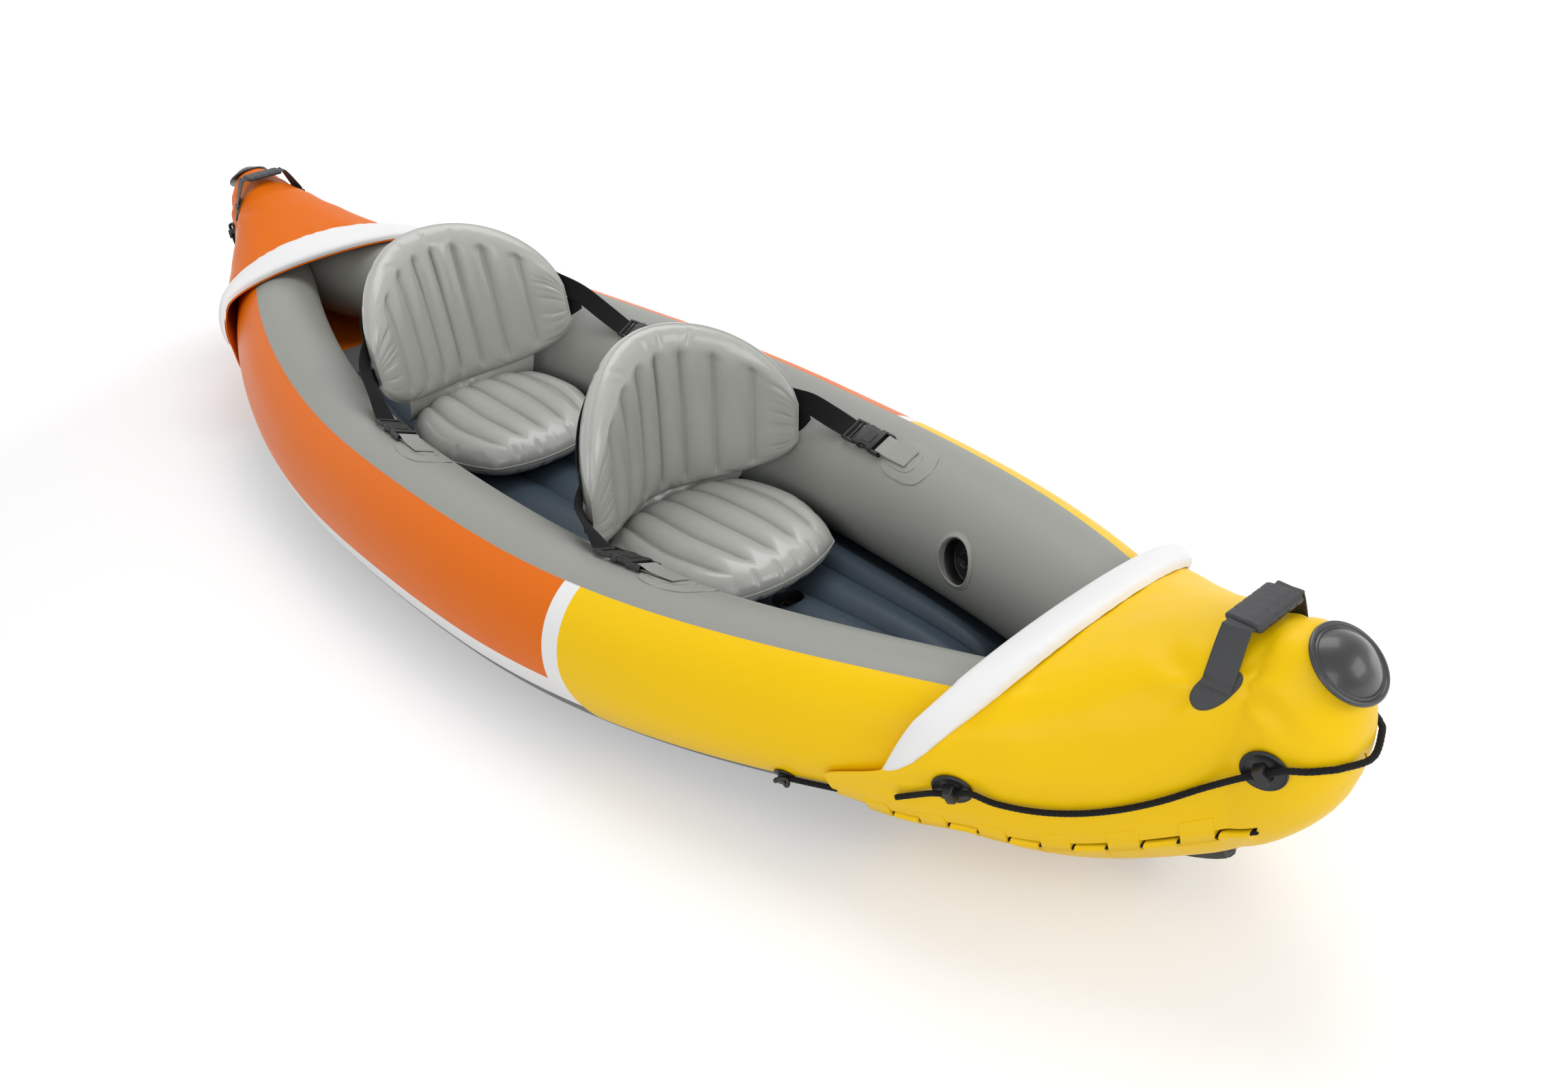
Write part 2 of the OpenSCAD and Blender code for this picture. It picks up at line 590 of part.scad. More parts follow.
// Distance back from the nose and place across the cover of each holder
holder_places = [[373, 0.742], [67, 0.745]];
rope_rise = holder_base_t + rope_d / 2 + 2 * seat_gap;
module rope_holder() {
  cylinder(d = holder_d, h = holder_base_t);
  rotate(holder_turn) difference() {
    translate([-holder_block_l / 2, -holder_block_w / 2, 0]) cube([holder_block_l, holder_block_w, holder_h]);
    translate([0, 0, rope_rise]) rotate([0, 90, 0])
      cylinder(d = rope_d + 4 * seat_gap, h = 2 * holder_block_l, center = true);
  }
}
module rope_holders() {
  port_and_starboard() for (h = holder_places) on_cover(half_length - h.x, h.y, seat_gap) rope_holder();
}
module bow_rope_holders() { color(black) rope_holders(); }
module stern_rope_holders() { color(black) mirror([1, 0, 0]) rope_holders(); }

// Line ties: where the ends of a grab line are made fast to the tubes, aft of the cover's lobe
tie_back = 612;
tie_a = 122;
tie_d = 18;
tie_base_t = 3;
tie_l = 16;
tie_w = 18;
tie_h = 15;
tie_gap = -0.2;
module line_ties() {
  port_and_starboard() on_tube(half_length - tie_back, tie_a, tie_gap) {
    cylinder(d = tie_d, h = tie_base_t);
    translate([0, 0, tie_h / 2]) cube([tie_l, tie_w, tie_h], center = true);
  }
}
module bow_line_ties() { color(black) line_ties(); }
module stern_line_ties() { color(black) mirror([1, 0, 0]) line_ties(); }

// Grab line: it lies on the cover between the holders, at places given as the holders' are
rope_tail = [[445, 0.85], [420, 0.81]];
rope_sag = [[325, 0.78], [285, 0.81], [245, 0.825], [205, 0.828], [165, 0.818], [125, 0.793]];
rope_nose_run = [[30, 0.735], [17, 0.732], [8, 0.73]];
rope_clear = 1.8;
rope_sides = 8;
tail_sides = 6;
nose_clear = 5;
nose_dip = 4;
function rope_run(route) =
  [for (q = route) let (x = half_length - q.x)
    cover_pt(x, q.y) + (rope_d / 2 + rope_clear) * cover_out(x, q.y)];
function through_holder(h) =
  let (x = half_length - h.x, ex = cover_ahead(x, h.y), ez = cover_out(x, h.y), ey = cross(ez, ex),
       way = ex * cos(holder_turn) + ey * sin(holder_turn),
       c = cover_pt(x, h.y) + (seat_gap + rope_rise) * ez,
       near = holder_block_l / 2 + rope_clear, far = holder_d / 2 + rope_clear)
  [for (t = [-far, -near, near, far]) c + t * way];
rope_half = concat(rope_run(rope_tail), through_holder(holder_places[0]), rope_run(rope_sag),
  through_holder(holder_places[1]), rope_run(rope_nose_run));
rope_nose = [half_length + rope_d / 2 + nose_clear, 0, rope_half[len(rope_half) - 1].z - nose_dip];
module grab_line(shift) {
  points = concat([for (p = rope_half) [p.x, -p.y, p.z]], [rope_nose],
    [for (i = [len(rope_half) - 1:-1:0]) rope_half[i]]);
  cord(points, rope_d, rope_sides);
  tie_front = half_length - tie_back + tie_d / 2 + rope_clear;
  lobe_x = cover_edge(1, shift) - rope_clear;
  port_and_starboard()
    cord([for (t = [0:0.5:1]) tube_pt(mix(tie_front, lobe_x, t), tie_a, rope_d / 2 + rope_clear)],
         rope_d, tail_sides);
}
module bow_grab_line() { color(black) grab_line(0); }
module stern_grab_line() { color(black) mirror([1, 0, 0]) grab_line(stern_shift); }

// Side valves: a cup in a pocket of the tube, with a push-in plug on its floor
cup_wall = 3;
cup_floor = 4;
plug_h = 12;
plug_seat = 6;
collar_w = 9;
collar_t = 2.4;
collar_gap = 0.9;
// Depth at which a flat rim lies just under the curved wall
function rim_drop(d) = pow(d / 2, 2) / girth(valve_x) / 2 + 1;
module valve_cup(d, depth, drop) {
  rotate_extrude() difference() {
    translate([0, -depth + valve_play]) square([d / 2 - valve_play, depth - valve_play - drop]);
    translate([0, -depth + valve_play + cup_floor]) square([d / 2 - valve_play - cup_wall, depth]);
    translate([0, -depth]) square([plug_d / 2 - 3, depth]);
  }
}
module valve_plug(depth) {
  translate([0, 0, -depth + valve_play + cup_floor + seat_gap]) {
    cylinder(d = plug_d, h = plug_h * 0.5);
    translate([-plug_d / 2 + 2, -3, 0]) cube([plug_d - 4, 6, plug_h]);
    translate([0, 0, -seat_gap - cup_floor + 0.5])
      cylinder(d = plug_d - 6 - 2 * valve_play, h = cup_floor + 1);
  }
}
module side_valve_seat() {
  on_tube(valve_x, -valve_a, 0) valve_cup(valve_d, valve_depth, rim_drop(valve_d));
}
module side_valve_cap() { on_tube(valve_x, -valve_a, 0) valve_plug(valve_depth); }
module port_valve_seat() { color(black) side_valve_seat(); }
module starboard_valve_seat() { color(black) mirror([0, 1, 0]) side_valve_seat(); }
module port_valve_cap() { color(black) side_valve_cap(); }
module starboard_valve_cap() { color(black) mirror([0, 1, 0]) side_valve_cap(); }
// Collar: a ring welded on the tube's wall round the pocket
collar_cells = 20;
module valve_collars() {
  inner_r = valve_d / 2 + seat_gap;
  outer_r = inner_r + collar_w;
  section = [[inner_r, 0], [inner_r, collar_t], [outer_r, collar_t / 2], [outer_r, 0]];
  points = [for (i = [0:collar_cells - 1], q = section)
    let (f = 360 * i / collar_cells)
    tube_pt(valve_x + q.x * sin(f), -valve_a + q.x * cos(f) / girth(valve_x) * 180 / PI, collar_gap + q.y)];
  n = len(section);
  sides = [for (i = [0:collar_cells - 1], j = [0:n - 1], k = [0:1])
    let (a = i * n, b = (i + 1) % collar_cells * n, j2 = (j + 1) % n)
    k == 0 ? [a + j, a + j2, b + j2] : [a + j, b + j2, b + j]];
  color(pvc_grey) port_and_starboard() polyhedron(points, sides);
}
module floor_valve_seat() {
  color(black) translate([floor_valve_x, 0, floor_valve_z]) valve_cup(floor_valve_d, floor_valve_depth, -2);
}
module floor_valve_cap() {
  color(black) translate([floor_valve_x, 0, floor_valve_z]) valve_plug(floor_valve_depth);
}

// Seats: the cushion lies on the floor, and the backrest stands on its fold line
cushion_rows = 10;
weld_t = 4;
cushion_taper = 0.13;
// Room between a cushion's back edge and the fold line, and the height of the fold over the seam
fold_room = 10;
fold_rise = 30;
fold_tab_w = 64;
fold_tab_t = 1.2;
fold_tab_gap = 0.65;
function cushion_mid(sx) = sx + fold_room + cushion_l / 2;
function cushion_z(x) = floor_top(x) + 3 * seat_gap + cushion_belly + weld_t / 2;
function cushion_pt(sx, u, v, side) =
  let (q = soften(u, v, 0.35), x = cushion_mid(sx) + cushion_l / 2 * q.x,
       y = cushion_w / 2 * q.y * (1 - cushion_taper * max(0, u)),
       dip = 0.34 * (1 - channel(v, cushion_channels)) * ease((0.97 - abs(u)) / 0.22),
       h = side > 0 ? cushion_crown * puff(u, v) * (1 - dip) : -cushion_belly * puff(u, v))
  [x, y, cushion_z(x) + side * weld_t / 2 + h];
module cushion(sx) {
  us = [for (i = [0:cushion_rows]) sin(90 * (2 * i / cushion_rows - 1))];
  vs = [for (j = [0:4 * cushion_channels]) j / (2 * cushion_channels) - 1];
  pillow([for (u = us) [for (v = vs) cushion_pt(sx, u, v, 1)]],
         [for (u = us) [for (v = vs) cushion_pt(sx, u, v, -1)]]);
  translate([sx, fold_tab_w / 2, cushion_z(sx)]) rotate([90, 0, 0]) linear_extrude(fold_tab_w) {
    translate([-fold_tab_t / 2, -fold_tab_t]) square([fold_tab_t, fold_rise - fold_tab_gap + fold_tab_t]);
    translate([-fold_tab_t / 2, -fold_tab_t]) square([2 * fold_room, 2 * fold_tab_t]);
  }
}
back_rows = 8;
back_edge = 0.985;
back_low = 0.4;
function fold_z(sx) = cushion_z(sx) + fold_rise;
// A backrest in its own upright frame: p across from -1 to 1, q up from 0 to 1
function fan(p) = pow(1 - pow(abs(p), 2.3), 1 / 2.3);
function back_flat(p, q) = [back_wrap * pow(abs(p), 1.8), back_w / 2 * p,
  back_h * (back_low * (1 - fan(p)) + q * fan(p))];
function back_face(p) =
  let (slope = (p < 0 ? -1 : 1) * back_wrap * 1.8 * pow(abs(p), 0.8) / (back_w / 2)) unit([1, -slope, 0]);
function back_crease(p, q) =
  0.34 * (1 - channel(p / back_edge, back_channels)) * ease((0.9 - q) / 0.15) * ease(q / 0.12);
function back_puff(p, q, channels) =
  back_crown * puff(p / back_edge, 2 * q - 1) * (1 - channels * back_crease(p, q));
// The same, leaned about the fold line of a seat at sx
function leaned(p, sx, lean) =
  [sx + p.x * cos(lean) + p.z * sin(lean), p.y, fold_z(sx) + p.z * cos(lean) - p.x * sin(lean)];
function back_pt(sx, lean, p, q, off) = leaned(back_flat(p, q) + off * back_face(p), sx, lean);
module backrest(sx, lean) {
  ps = [for (j = [0:4 * back_channels]) back_edge * (j / (2 * back_channels) - 1)];
  qs = [for (i = [0:back_rows]) 0.5 - 0.5 * cos(180 * i / back_rows)];
  pillow([for (p = ps) [for (q = qs) back_pt(sx, lean, p, q, weld_t / 2 + back_puff(p, q, 1))]],
         [for (p = ps) [for (q = qs) back_pt(sx, lean, p, q, -weld_t / 2 - 0.85 * back_puff(p, q, 0))]]);
}
// Seat valve: a stem and plug low on the back of the backrest
seat_valve_d = 18;
module seat_valve(sx, lean) {
  off = -weld_t / 2 - 0.85 * back_puff(0, 0.3, 0) - seat_gap;
  translate(back_pt(sx, lean, 0, 0.3, off)) rotate([0, lean - 90, 0]) {
    cylinder(d = 2 * seat_valve_d, h = 1.5);
    cylinder(d = seat_valve_d * 0.7, h = 14);
    translate([0, 0, 10]) cylinder(d = seat_valve_d, h = 4);
  }
}
rear_x = seat_x - seat_pitch;
module front_cushion() { color(pvc_grey) cushion(seat_x); }
module front_backrest() { color(pvc_grey) backrest(seat_x, front_lean); }
module front_seat_valve() { color(pvc_grey) seat_valve(seat_x, front_lean); }
module rear_cushion() { color(pvc_grey) cushion(rear_x); }
module rear_backrest() { color(pvc_grey) backrest(rear_x, rear_lean); }
module rear_seat_valve() { color(pvc_grey) seat_valve(rear_x, rear_lean); }

// Anchor patches, welded on the tubes ahead of the buckles
patch_cells = 5;
patch_gap = 1;
patch_t = 2.4;
socket_l = 46;
tab_run = 78;
patch_dx = socket_l + tab_run;
module anchor_patch(sx) {
  x = sx + buckle_dx + patch_dx;
  grid = [for (i = [0:patch_cells]) sin(90 * (2 * i / patch_cells - 1))];
  pillow([for (u = grid) [for (v = grid) let (q = soften(u, v, 0.4))
           tube_pt(x + patch_l / 2 * q.x, -buckle_a + patch_arc / 2 * q.y, patch_t)]],
         [for (u = grid) [for (v = grid) let (q = soften(u, v, 0.4))
           tube_pt(x + patch_l / 2 * q.x, -buckle_a + patch_arc / 2 * q.y, patch_gap)]]);
}
module anchor_patches() {
  color(pvc_grey) port_and_starboard() {
    anchor_patch(seat_x);
    anchor_patch(rear_x);
  }
}

// Buckles: a socket held by a tab, and a clip that slides into it from astern
buckle_lift = 1;
socket_wall = 3;
bar_d = 6;
tab_w = buckle_w - 9;
tab_t = 2;
bar_x = socket_l + 12;
module at_buckle(sx) { on_tube(sx + buckle_dx, -buckle_a, buckle_lift) children(); }
module each_buckle() {
  port_and_starboard() {
    at_buckle(seat_x) children();
    at_buckle(rear_x) children();
  }
}
module socket() {
  difference() {
    union() {
      translate([socket_l / 2, 0, 0]) slab([socket_l, buckle_w, buckle_t], 3);
      for (s = [-1, 1]) translate([socket_l + 4, s * (buckle_w / 2 - 2), 0]) slab([22, 4, buckle_t - 3], 1.5);
    }
    translate([-1, -buckle_w / 2 + socket_wall, socket_wall])
      cube([socket_l - 4, buckle_w - 2 * socket_wall, buckle_t - 2 * socket_wall]);
    translate([14, -buckle_w, socket_wall]) cube([18, 2 * buckle_w, buckle_t - 2 * socket_wall]);
  }
  translate([bar_x, 0, (buckle_t - 3) / 2]) rotate([90, 0, 0])
    cylinder(d = bar_d, h = buckle_w - 4, center = true);
}
module buckle_sockets() { color(black) each_buckle() socket(); }
// Tab: a strip folded round the socket's bar, its two ends bonded on the patch
function patch_top(sx, x) =
  let (bx = sx + buckle_dx, top = tube_pt(bx + x, -buckle_a, patch_t + seat_gap))
  (top - tube_pt(bx, -buckle_a, buckle_lift)) * tube_out(bx, -buckle_a);
module tab(sx) {
  r = bar_d / 2 + seat_gap;
  start = bar_x + r + tab_t;
  near = bar_x + 24;
  far = patch_dx + 8;
  low = (buckle_t - 3) / 2;
  rotate([90, 0, 0]) linear_extrude(tab_w, center = true) difference() {
    union() {
      translate([bar_x, low]) circle(r + tab_t);
      polygon([[bar_x, low + r + tab_t], [near, patch_top(sx, near) + 2 * tab_t],
        [far, patch_top(sx, far) + tab_t], [far, patch_top(sx, far)],
        [near, patch_top(sx, near)], [start, patch_top(sx, start)], [bar_x, low - r]]);
    }
    translate([bar_x, low]) circle(r);
  }
}
module anchor_tabs() {
  color(pvc_grey) port_and_starboard() {
    at_buckle(seat_x) tab(seat_x);
    at_buckle(rear_x) tab(rear_x);
  }
}

// Clip: two prongs and a guide in the socket, and a ladder for the webbing behind it
clip_t = buckle_t - 2 * socket_wall - 2 * clip_play;
clip_w = buckle_w - 2 * socket_wall - 2 * clip_play;
prong_w = 7;
prong_l = 36;
ladder_l = 34;
ladder_bar = 6;
module clip() {
  translate([0, 0, socket_wall + clip_play]) {
    for (s = [-1, 1]) translate([prong_l / 2 - 1, s * (clip_w - prong_w) / 2, 0])
      slab([prong_l + 2, prong_w, clip_t], 2);
    translate([prong_l / 2 - 4, 0, 0]) slab([prong_l - 6, prong_w, clip_t], 2);
    translate([-4 - clip_play, 0, 0]) slab([9, buckle_w - 2, clip_t], 2);
    translate([-ladder_l / 2 - 4, 0, 0]) difference() {
      slab([ladder_l, buckle_w, clip_t], 3);
      for (s = [-1, 1]) translate([s * (ladder_l / 4 - 1), 0, -1])
        slab([ladder_l / 2 - ladder_bar - 1, web_w + 1, clip_t + 2], 1);
    }
  }
}
module front_port_clip() { color(black) at_buckle(seat_x) clip(); }
module front_starboard_clip() { color(black) mirror([0, 1, 0]) at_buckle(seat_x) clip(); }
module rear_port_clip() { color(black) at_buckle(rear_x) clip(); }
module rear_starboard_clip() { color(black) mirror([0, 1, 0]) at_buckle(rear_x) clip(); }

// Straps: webbing from a clip to a fork beside the wing, and on to two places on the backrest's back
strap_room = 3;
strap_clear = 1.4;
strap_p = [0.93, 0.86, 0.78, 0.69, 0.6, 0.5, 0.4];
upper_q = [0.72, 0.77];
fork_off = [0, 13, 6];
lower_q = 0.3;
// A strap lies on the fullest part of the back that its width covers
function strap_on_back(sx, lean, p, q) =
  let (half = web_w / 2 / back_h / fan(p), fat = q > 0.5 ? q - half : q + half,
       full = max(back_puff(p, q, 0), back_puff(p, fat, 0)))
  back_pt(sx, lean, p, q, -weld_t / 2 - 0.85 * full - web_t / 2 - strap_clear);
// The four corners of a webbing's section, and the faces from one section to the next
function web_ring(p, ahead, across) =
  let (t = unit(ahead), n = unit(cross(t, across)), w = cross(n, t) * web_w / 2, h = n * web_t / 2)
  [p + w + h, p + w - h, p - w - h, p - w + h];
function web_run(points, before, across) =
  let (m = len(points) - 1)
  [for (i = [0:m]) web_ring(points[i], points[min(m, i + 1)] - (i == 0 ? before : points[i - 1]), across[i])];
function web_faces(a, b) = [for (j = [0:3], k = [0:1])
  k == 0 ? [a[j], a[(j + 1) % 4], b[(j + 1) % 4]] : [a[j], b[(j + 1) % 4], b[j]]];
function web_index(first, i) = [for (j = [0:3]) first + 4 * i + j];
// A strap forks: each half of the section at the fork widens into a branch of full width
module strap(sx, lean) {
  x0 = sx + buckle_dx - ladder_l - 4 - strap_room;
  start = tube_pt(x0, -buckle_a, buckle_lift + socket_wall + clip_play + clip_t / 2);
  flat = cross(tube_out(x0, -buckle_a), tube_ahead(x0, -buckle_a));
  upright = unit(leaned([0, 0, 1], 0, lean) - [0, 0, fold_z(0)]);
  fork = mix(start, strap_on_back(sx, lean, 0.93, 0.62), 0.72) + fork_off;
  tilt = unit(mix(flat, upright, 0.55));
  last = len(strap_p) - 1;
  upper = [for (i = [0:last]) strap_on_back(sx, lean, strap_p[i], mix(upper_q[0], upper_q[1], i / last))];
  lower = [for (p = strap_p) strap_on_back(sx, lean, p, lower_q)];
  along = [for (p = strap_p) upright];
  bend = mix(start, fork, 0.4);
  first = web_ring(start, bend - start, flat);
  second = web_ring(bend, fork - start, unit(mix(flat, tilt, 0.5)));
  split = web_ring(fork, mix(upper[0], lower[0], 0.5) - bend, tilt);
  halved = [split[0], split[1], mix(split[1], split[2], 0.5), split[2], split[3], mix(split[3], split[0], 0.5)];
  up_at = 14;
  low_at = up_at + 4 * (last + 1);
  points = concat(first, second, halved, [for (r = web_run(upper, fork, along), q = r) q],
                  [for (r = web_run(lower, fork, along), q = r) q]);
  stem = concat([[3, 2, 1, 0]], web_faces([0, 1, 2, 3], [4, 5, 6, 7]),
    [[4, 5, 9], [4, 9, 8], [5, 6, 10], [6, 11, 10], [5, 10, 9], [6, 7, 12], [6, 12, 11],
     [7, 4, 13], [4, 8, 13], [7, 13, 12]]);
  runs = [for (i = [0:last - 1], at = [up_at, low_at]) each web_faces(web_index(at, i), web_index(at, i + 1))];
  tips = [web_index(up_at, last), web_index(low_at, last)];
  polyhedron(points, concat(stem, web_faces([8, 9, 10, 13], web_index(up_at, 0)),
                            web_faces([13, 10, 11, 12], web_index(low_at, 0)), runs, tips));
}
module front_port_strap() { color(black) strap(seat_x, front_lean); }
module front_starboard_strap() { color(black) mirror([0, 1, 0]) strap(seat_x, front_lean); }
module rear_port_strap() { color(black) strap(rear_x, rear_lean); }
module rear_starboard_strap() { color(black) mirror([0, 1, 0]) strap(rear_x, rear_lean); }

// Skeg: a fin with a foot that slides into a rail bonded under the bow
rail_w = 40;
rail_t = 4;
foot_w = 24;
foot_t = 4;
fin_rake = 8;
function keel_low(x) = keel_pt(x, 0, 0).z;
rail_pitch = atan((keel_low(skeg_x + rail_l / 2) - keel_low(skeg_x - rail_l / 2)) / rail_l);
module at_keel() {
  low = min([for (t = [-0.5, -0.25, 0, 0.25, 0.5])
    keel_low(skeg_x + t * rail_l) - t * rail_l * tan(rail_pitch)]);
  translate([skeg_x, 0, low - seat_gap]) rotate([0, -rail_pitch, 0]) children();
}
rail_h = 2 * rail_t + foot_t + 2 * rail_play;
module skeg_rail() {
  color(dark_grey) at_keel() difference() {
    translate([0, 0, -rail_h / 2]) cube([rail_l, rail_w, rail_h], center = true);
    translate([rail_t, 0, -rail_t - foot_t / 2 - rail_play])
      cube([rail_l, foot_w + 2 * rail_play, foot_t + 2 * rail_play], center = true);
    translate([rail_t, 0, -rail_h]) cube([rail_l, fin_t + 2 * rail_play, 2 * rail_t], center = true);
  }
}
module skeg() {
  foot_l = rail_l - rail_t - rail_play;
  foot_x = (rail_t + rail_play) / 2;
  top = -rail_t - rail_play;
  color(dark_grey) at_keel() {
    translate([foot_x, 0, top - foot_t / 2]) cube([foot_l, foot_w, foot_t], center = true);
    rotate([90, 0, 0]) translate([0, 0, -fin_t / 2]) linear_extrude(fin_t)
      polygon(concat([[foot_x - foot_l / 2, top - 1], [foot_x + foot_l / 2, top - 1]],
        [for (i = [0:10]) let (a = 9 * i)
          [foot_x - foot_l / 2 + foot_l * cos(a) - fin_rake * sin(a) * (1 - cos(a)),
           -rail_h - seat_gap - fin_h * sin(a)]],
        [[foot_x - foot_l / 2, -rail_h - 0.5 * fin_h]]));
  }
}

port_tube();
starboard_tube();
floor();
bottom_skin();
bow_keel_flap();
stern_keel_flap();
bow_deck();
stern_deck();
bow_coaming();
stern_coaming();
bow_lacing();
stern_lacing();
bow_deck_tabs();
stern_deck_tabs();
bow_keel_tabs();
stern_keel_tabs();
bow_nose_cap();
stern_nose_cap();
bow_handle_patches();
stern_handle_patches();
bow_handle_strap();
stern_handle_strap();
bow_handle_grip();
stern_handle_grip();
bow_rope_holders();
stern_rope_holders();
bow_line_ties();
stern_line_ties();
bow_grab_line();
stern_grab_line();
port_valve_seat();
port_valve_cap();
starboard_valve_seat();
starboard_valve_cap();
valve_collars();
floor_valve_seat();
floor_valve_cap();
front_cushion();
front_backrest();
rear_cushion();
rear_backrest();
front_seat_valve();
rear_seat_valve();
anchor_patches();
anchor_tabs();
buckle_sockets();
front_port_clip();
front_starboard_clip();
rear_port_clip();
rear_starboard_clip();
front_port_strap();
front_starboard_strap();
rear_port_strap();
rear_starboard_strap();
skeg_rail();
skeg();
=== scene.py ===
import math

import bmesh
import bpy
import numpy as np
from mathutils import Matrix, Vector, noise


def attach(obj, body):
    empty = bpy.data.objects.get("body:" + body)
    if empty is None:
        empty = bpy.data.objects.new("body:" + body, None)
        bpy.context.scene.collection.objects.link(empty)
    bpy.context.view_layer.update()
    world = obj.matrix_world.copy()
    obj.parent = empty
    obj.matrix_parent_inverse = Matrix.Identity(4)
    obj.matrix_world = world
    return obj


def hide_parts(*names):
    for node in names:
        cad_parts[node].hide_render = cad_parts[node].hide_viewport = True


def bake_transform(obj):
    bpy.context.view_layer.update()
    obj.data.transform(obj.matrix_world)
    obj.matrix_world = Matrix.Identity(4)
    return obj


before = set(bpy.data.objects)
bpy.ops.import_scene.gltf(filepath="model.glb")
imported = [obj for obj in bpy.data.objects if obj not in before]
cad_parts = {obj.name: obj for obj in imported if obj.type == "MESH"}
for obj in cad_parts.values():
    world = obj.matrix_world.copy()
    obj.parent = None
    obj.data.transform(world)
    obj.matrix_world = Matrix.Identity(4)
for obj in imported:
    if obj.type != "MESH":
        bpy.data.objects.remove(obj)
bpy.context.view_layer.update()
scene = bpy.context.scene
print("frame loaded")

# camera and light, in metres
view = {
    "place": (1.96366953, -1.12080976, 1.31101913),
    "right": (0.65655285, 0.75000777, -0.0801667),
    "up": (-0.35569264, 0.40157734, 0.84393032),
    "ahead": (-0.66514743, 0.52557015, -0.53042899),
    "focalPixels": 1952.16, "imageWidth": 2298, "sensor": 36,
}
lamps = {
    "overhead": {"place": (-0.2, 1.0, 3.1), "aim": (0.3, 0, 0.1), "size": (2.6, 1.8), "power": 42},
    "nearFill": {"place": (2.4, -3.4, 1.9), "aim": (0.3, 0, 0.2), "size": (3.0, 2.0), "power": 40},
    "bowFill": {"place": (3.9, 0.9, 2.1), "aim": (0.3, 0, 0.25), "size": (2.2, 1.6), "power": 34},
    "sternSoft": {"place": (-3.2, 1.6, 2.2), "aim": (-0.4, 0, 0.2), "size": (2.2, 1.4), "power": 5},
}
studio = {
    "worldLight": 0.56, "floorTone": (0.74, 0.74, 0.74, 1), "floorRough": 0.9, "floorHalf": 40, "floorZ": -0.0005,
    "floorLift": 0.3, "whiteFrom": 1.5, "whiteOver": 2.0,
}
white = (1, 1, 1, 1)


def setCamera():
    data = bpy.data.cameras.new("photoView")
    data.sensor_fit = "HORIZONTAL"
    data.sensor_width = view["sensor"]
    data.lens = view["sensor"] * view["focalPixels"] / view["imageWidth"]
    camera = bpy.data.objects.new("photoView", data)
    turn = Matrix((view["right"], view["up"], -Vector(view["ahead"]))).transposed().to_4x4()
    turn.translation = view["place"]
    camera.matrix_world = turn
    scene.collection.objects.link(camera)
    scene.camera = camera


def setLamps():
    for name, lamp in lamps.items():
        data = bpy.data.lights.new(name, "AREA")
        data.shape = "RECTANGLE"
        data.size, data.size_y = lamp["size"]
        data.energy = lamp["power"]
        light = bpy.data.objects.new(name, data)
        light.location = lamp["place"]
        aim = Vector(lamp["aim"]) - Vector(lamp["place"])
        light.rotation_euler = aim.to_track_quat("-Z", "Y").to_euler()
        scene.collection.objects.link(light)


setCamera()
setLamps()
scene.view_settings.view_transform = "Standard"


# a shader socket that takes part in plain expressions
class Wire:
    def __init__(self, tree, socket):
        self.tree, self.socket = tree, socket

    def node(self, kind, settings=None, values=None, out=0):
        made = self.tree.nodes.new(kind)
        for key, value in (settings or {}).items():
            setattr(made, key, value)
        for key, value in (values or {}).items():
            if isinstance(value, Wire):
                self.tree.links.new(value.socket, made.inputs[key])
            else:
                made.inputs[key].default_value = value
        return Wire(self.tree, made.outputs[out])

    def sum(self, operation, first, second=0.0, clamp=False):
        return self.node("ShaderNodeMath", {"operation": operation, "use_clamp": clamp}, {0: first, 1: second})

    def __add__(self, other):
        return self.sum("ADD", self, other)

    def __sub__(self, other):
        return self.sum("SUBTRACT", self, other)

    def __rsub__(self, other):
        return self.sum("SUBTRACT", other, self)

    def __mul__(self, other):
        return self.sum("MULTIPLY", self, other)

    def __truediv__(self, other):
        return self.sum("DIVIDE", self, other)

    def __rtruediv__(self, other):
        return self.sum("DIVIDE", other, self)

    def __pow__(self, other):
        return self.sum("POWER", self, other)

    __radd__, __rmul__ = __add__, __mul__

    def wave(self):
        return self.sum("SINE", self)

    def size(self):
        return self.sum("ABSOLUTE", self)

    def held(self):
        return self.sum("ADD", self, 0.0, True)

    def raised(self):  # a wave from 0 to 1
        return self * 0.5 + 0.5

    def step(self, edge, soft):  # 0 below the edge, 1 above it
        return ((self - edge) / soft + 0.5).held()

    def mixed(self, low, high):  # two colours by this share
        return self.node("ShaderNodeMix", {"data_type": "RGBA"}, {0: self, 6: low, 7: high}, 2)

    def tinted(self, shade):  # this colour times another
        kind = {"data_type": "RGBA", "blend_type": "MULTIPLY"}
        return self.node("ShaderNodeMix", kind, {0: 1.0, 6: self, 7: shade}, 2)

    def grain(self, scale, detail=3.0, rough=0.55):
        values = {"Vector": self, "Scale": scale, "Detail": detail, "Roughness": rough}
        return self.node("ShaderNodeTexNoise", {}, values)

    def parts(self):  # the first two of three values
        split = self.node("ShaderNodeSeparateXYZ", {}, {0: self}).socket.node
        return [Wire(self.tree, s) for s in split.outputs[:2]]


def paint(red, green, blue):
    share = [v / 255 for v in (red, green, blue)]
    return tuple(((v + 0.055) / 1.055) ** 2.4 if v > 0.04 else v / 12.92 for v in share) + (1,)


def shaded(colour, by):
    return tuple(min(1, c * by) for c in colour[:3]) + (1,)


def newFinish(name, fixed, uv=False):
    finish = bpy.data.materials.new(name)
    finish.use_nodes = True
    tree = finish.node_tree
    shader = tree.nodes["Principled BSDF"]
    for key, value in fixed.items():
        shader.inputs[key].default_value = value
    spot = Wire(tree, tree.nodes.new("ShaderNodeTexCoord").outputs["UV" if uv else "Object"])
    return finish, shader, spot


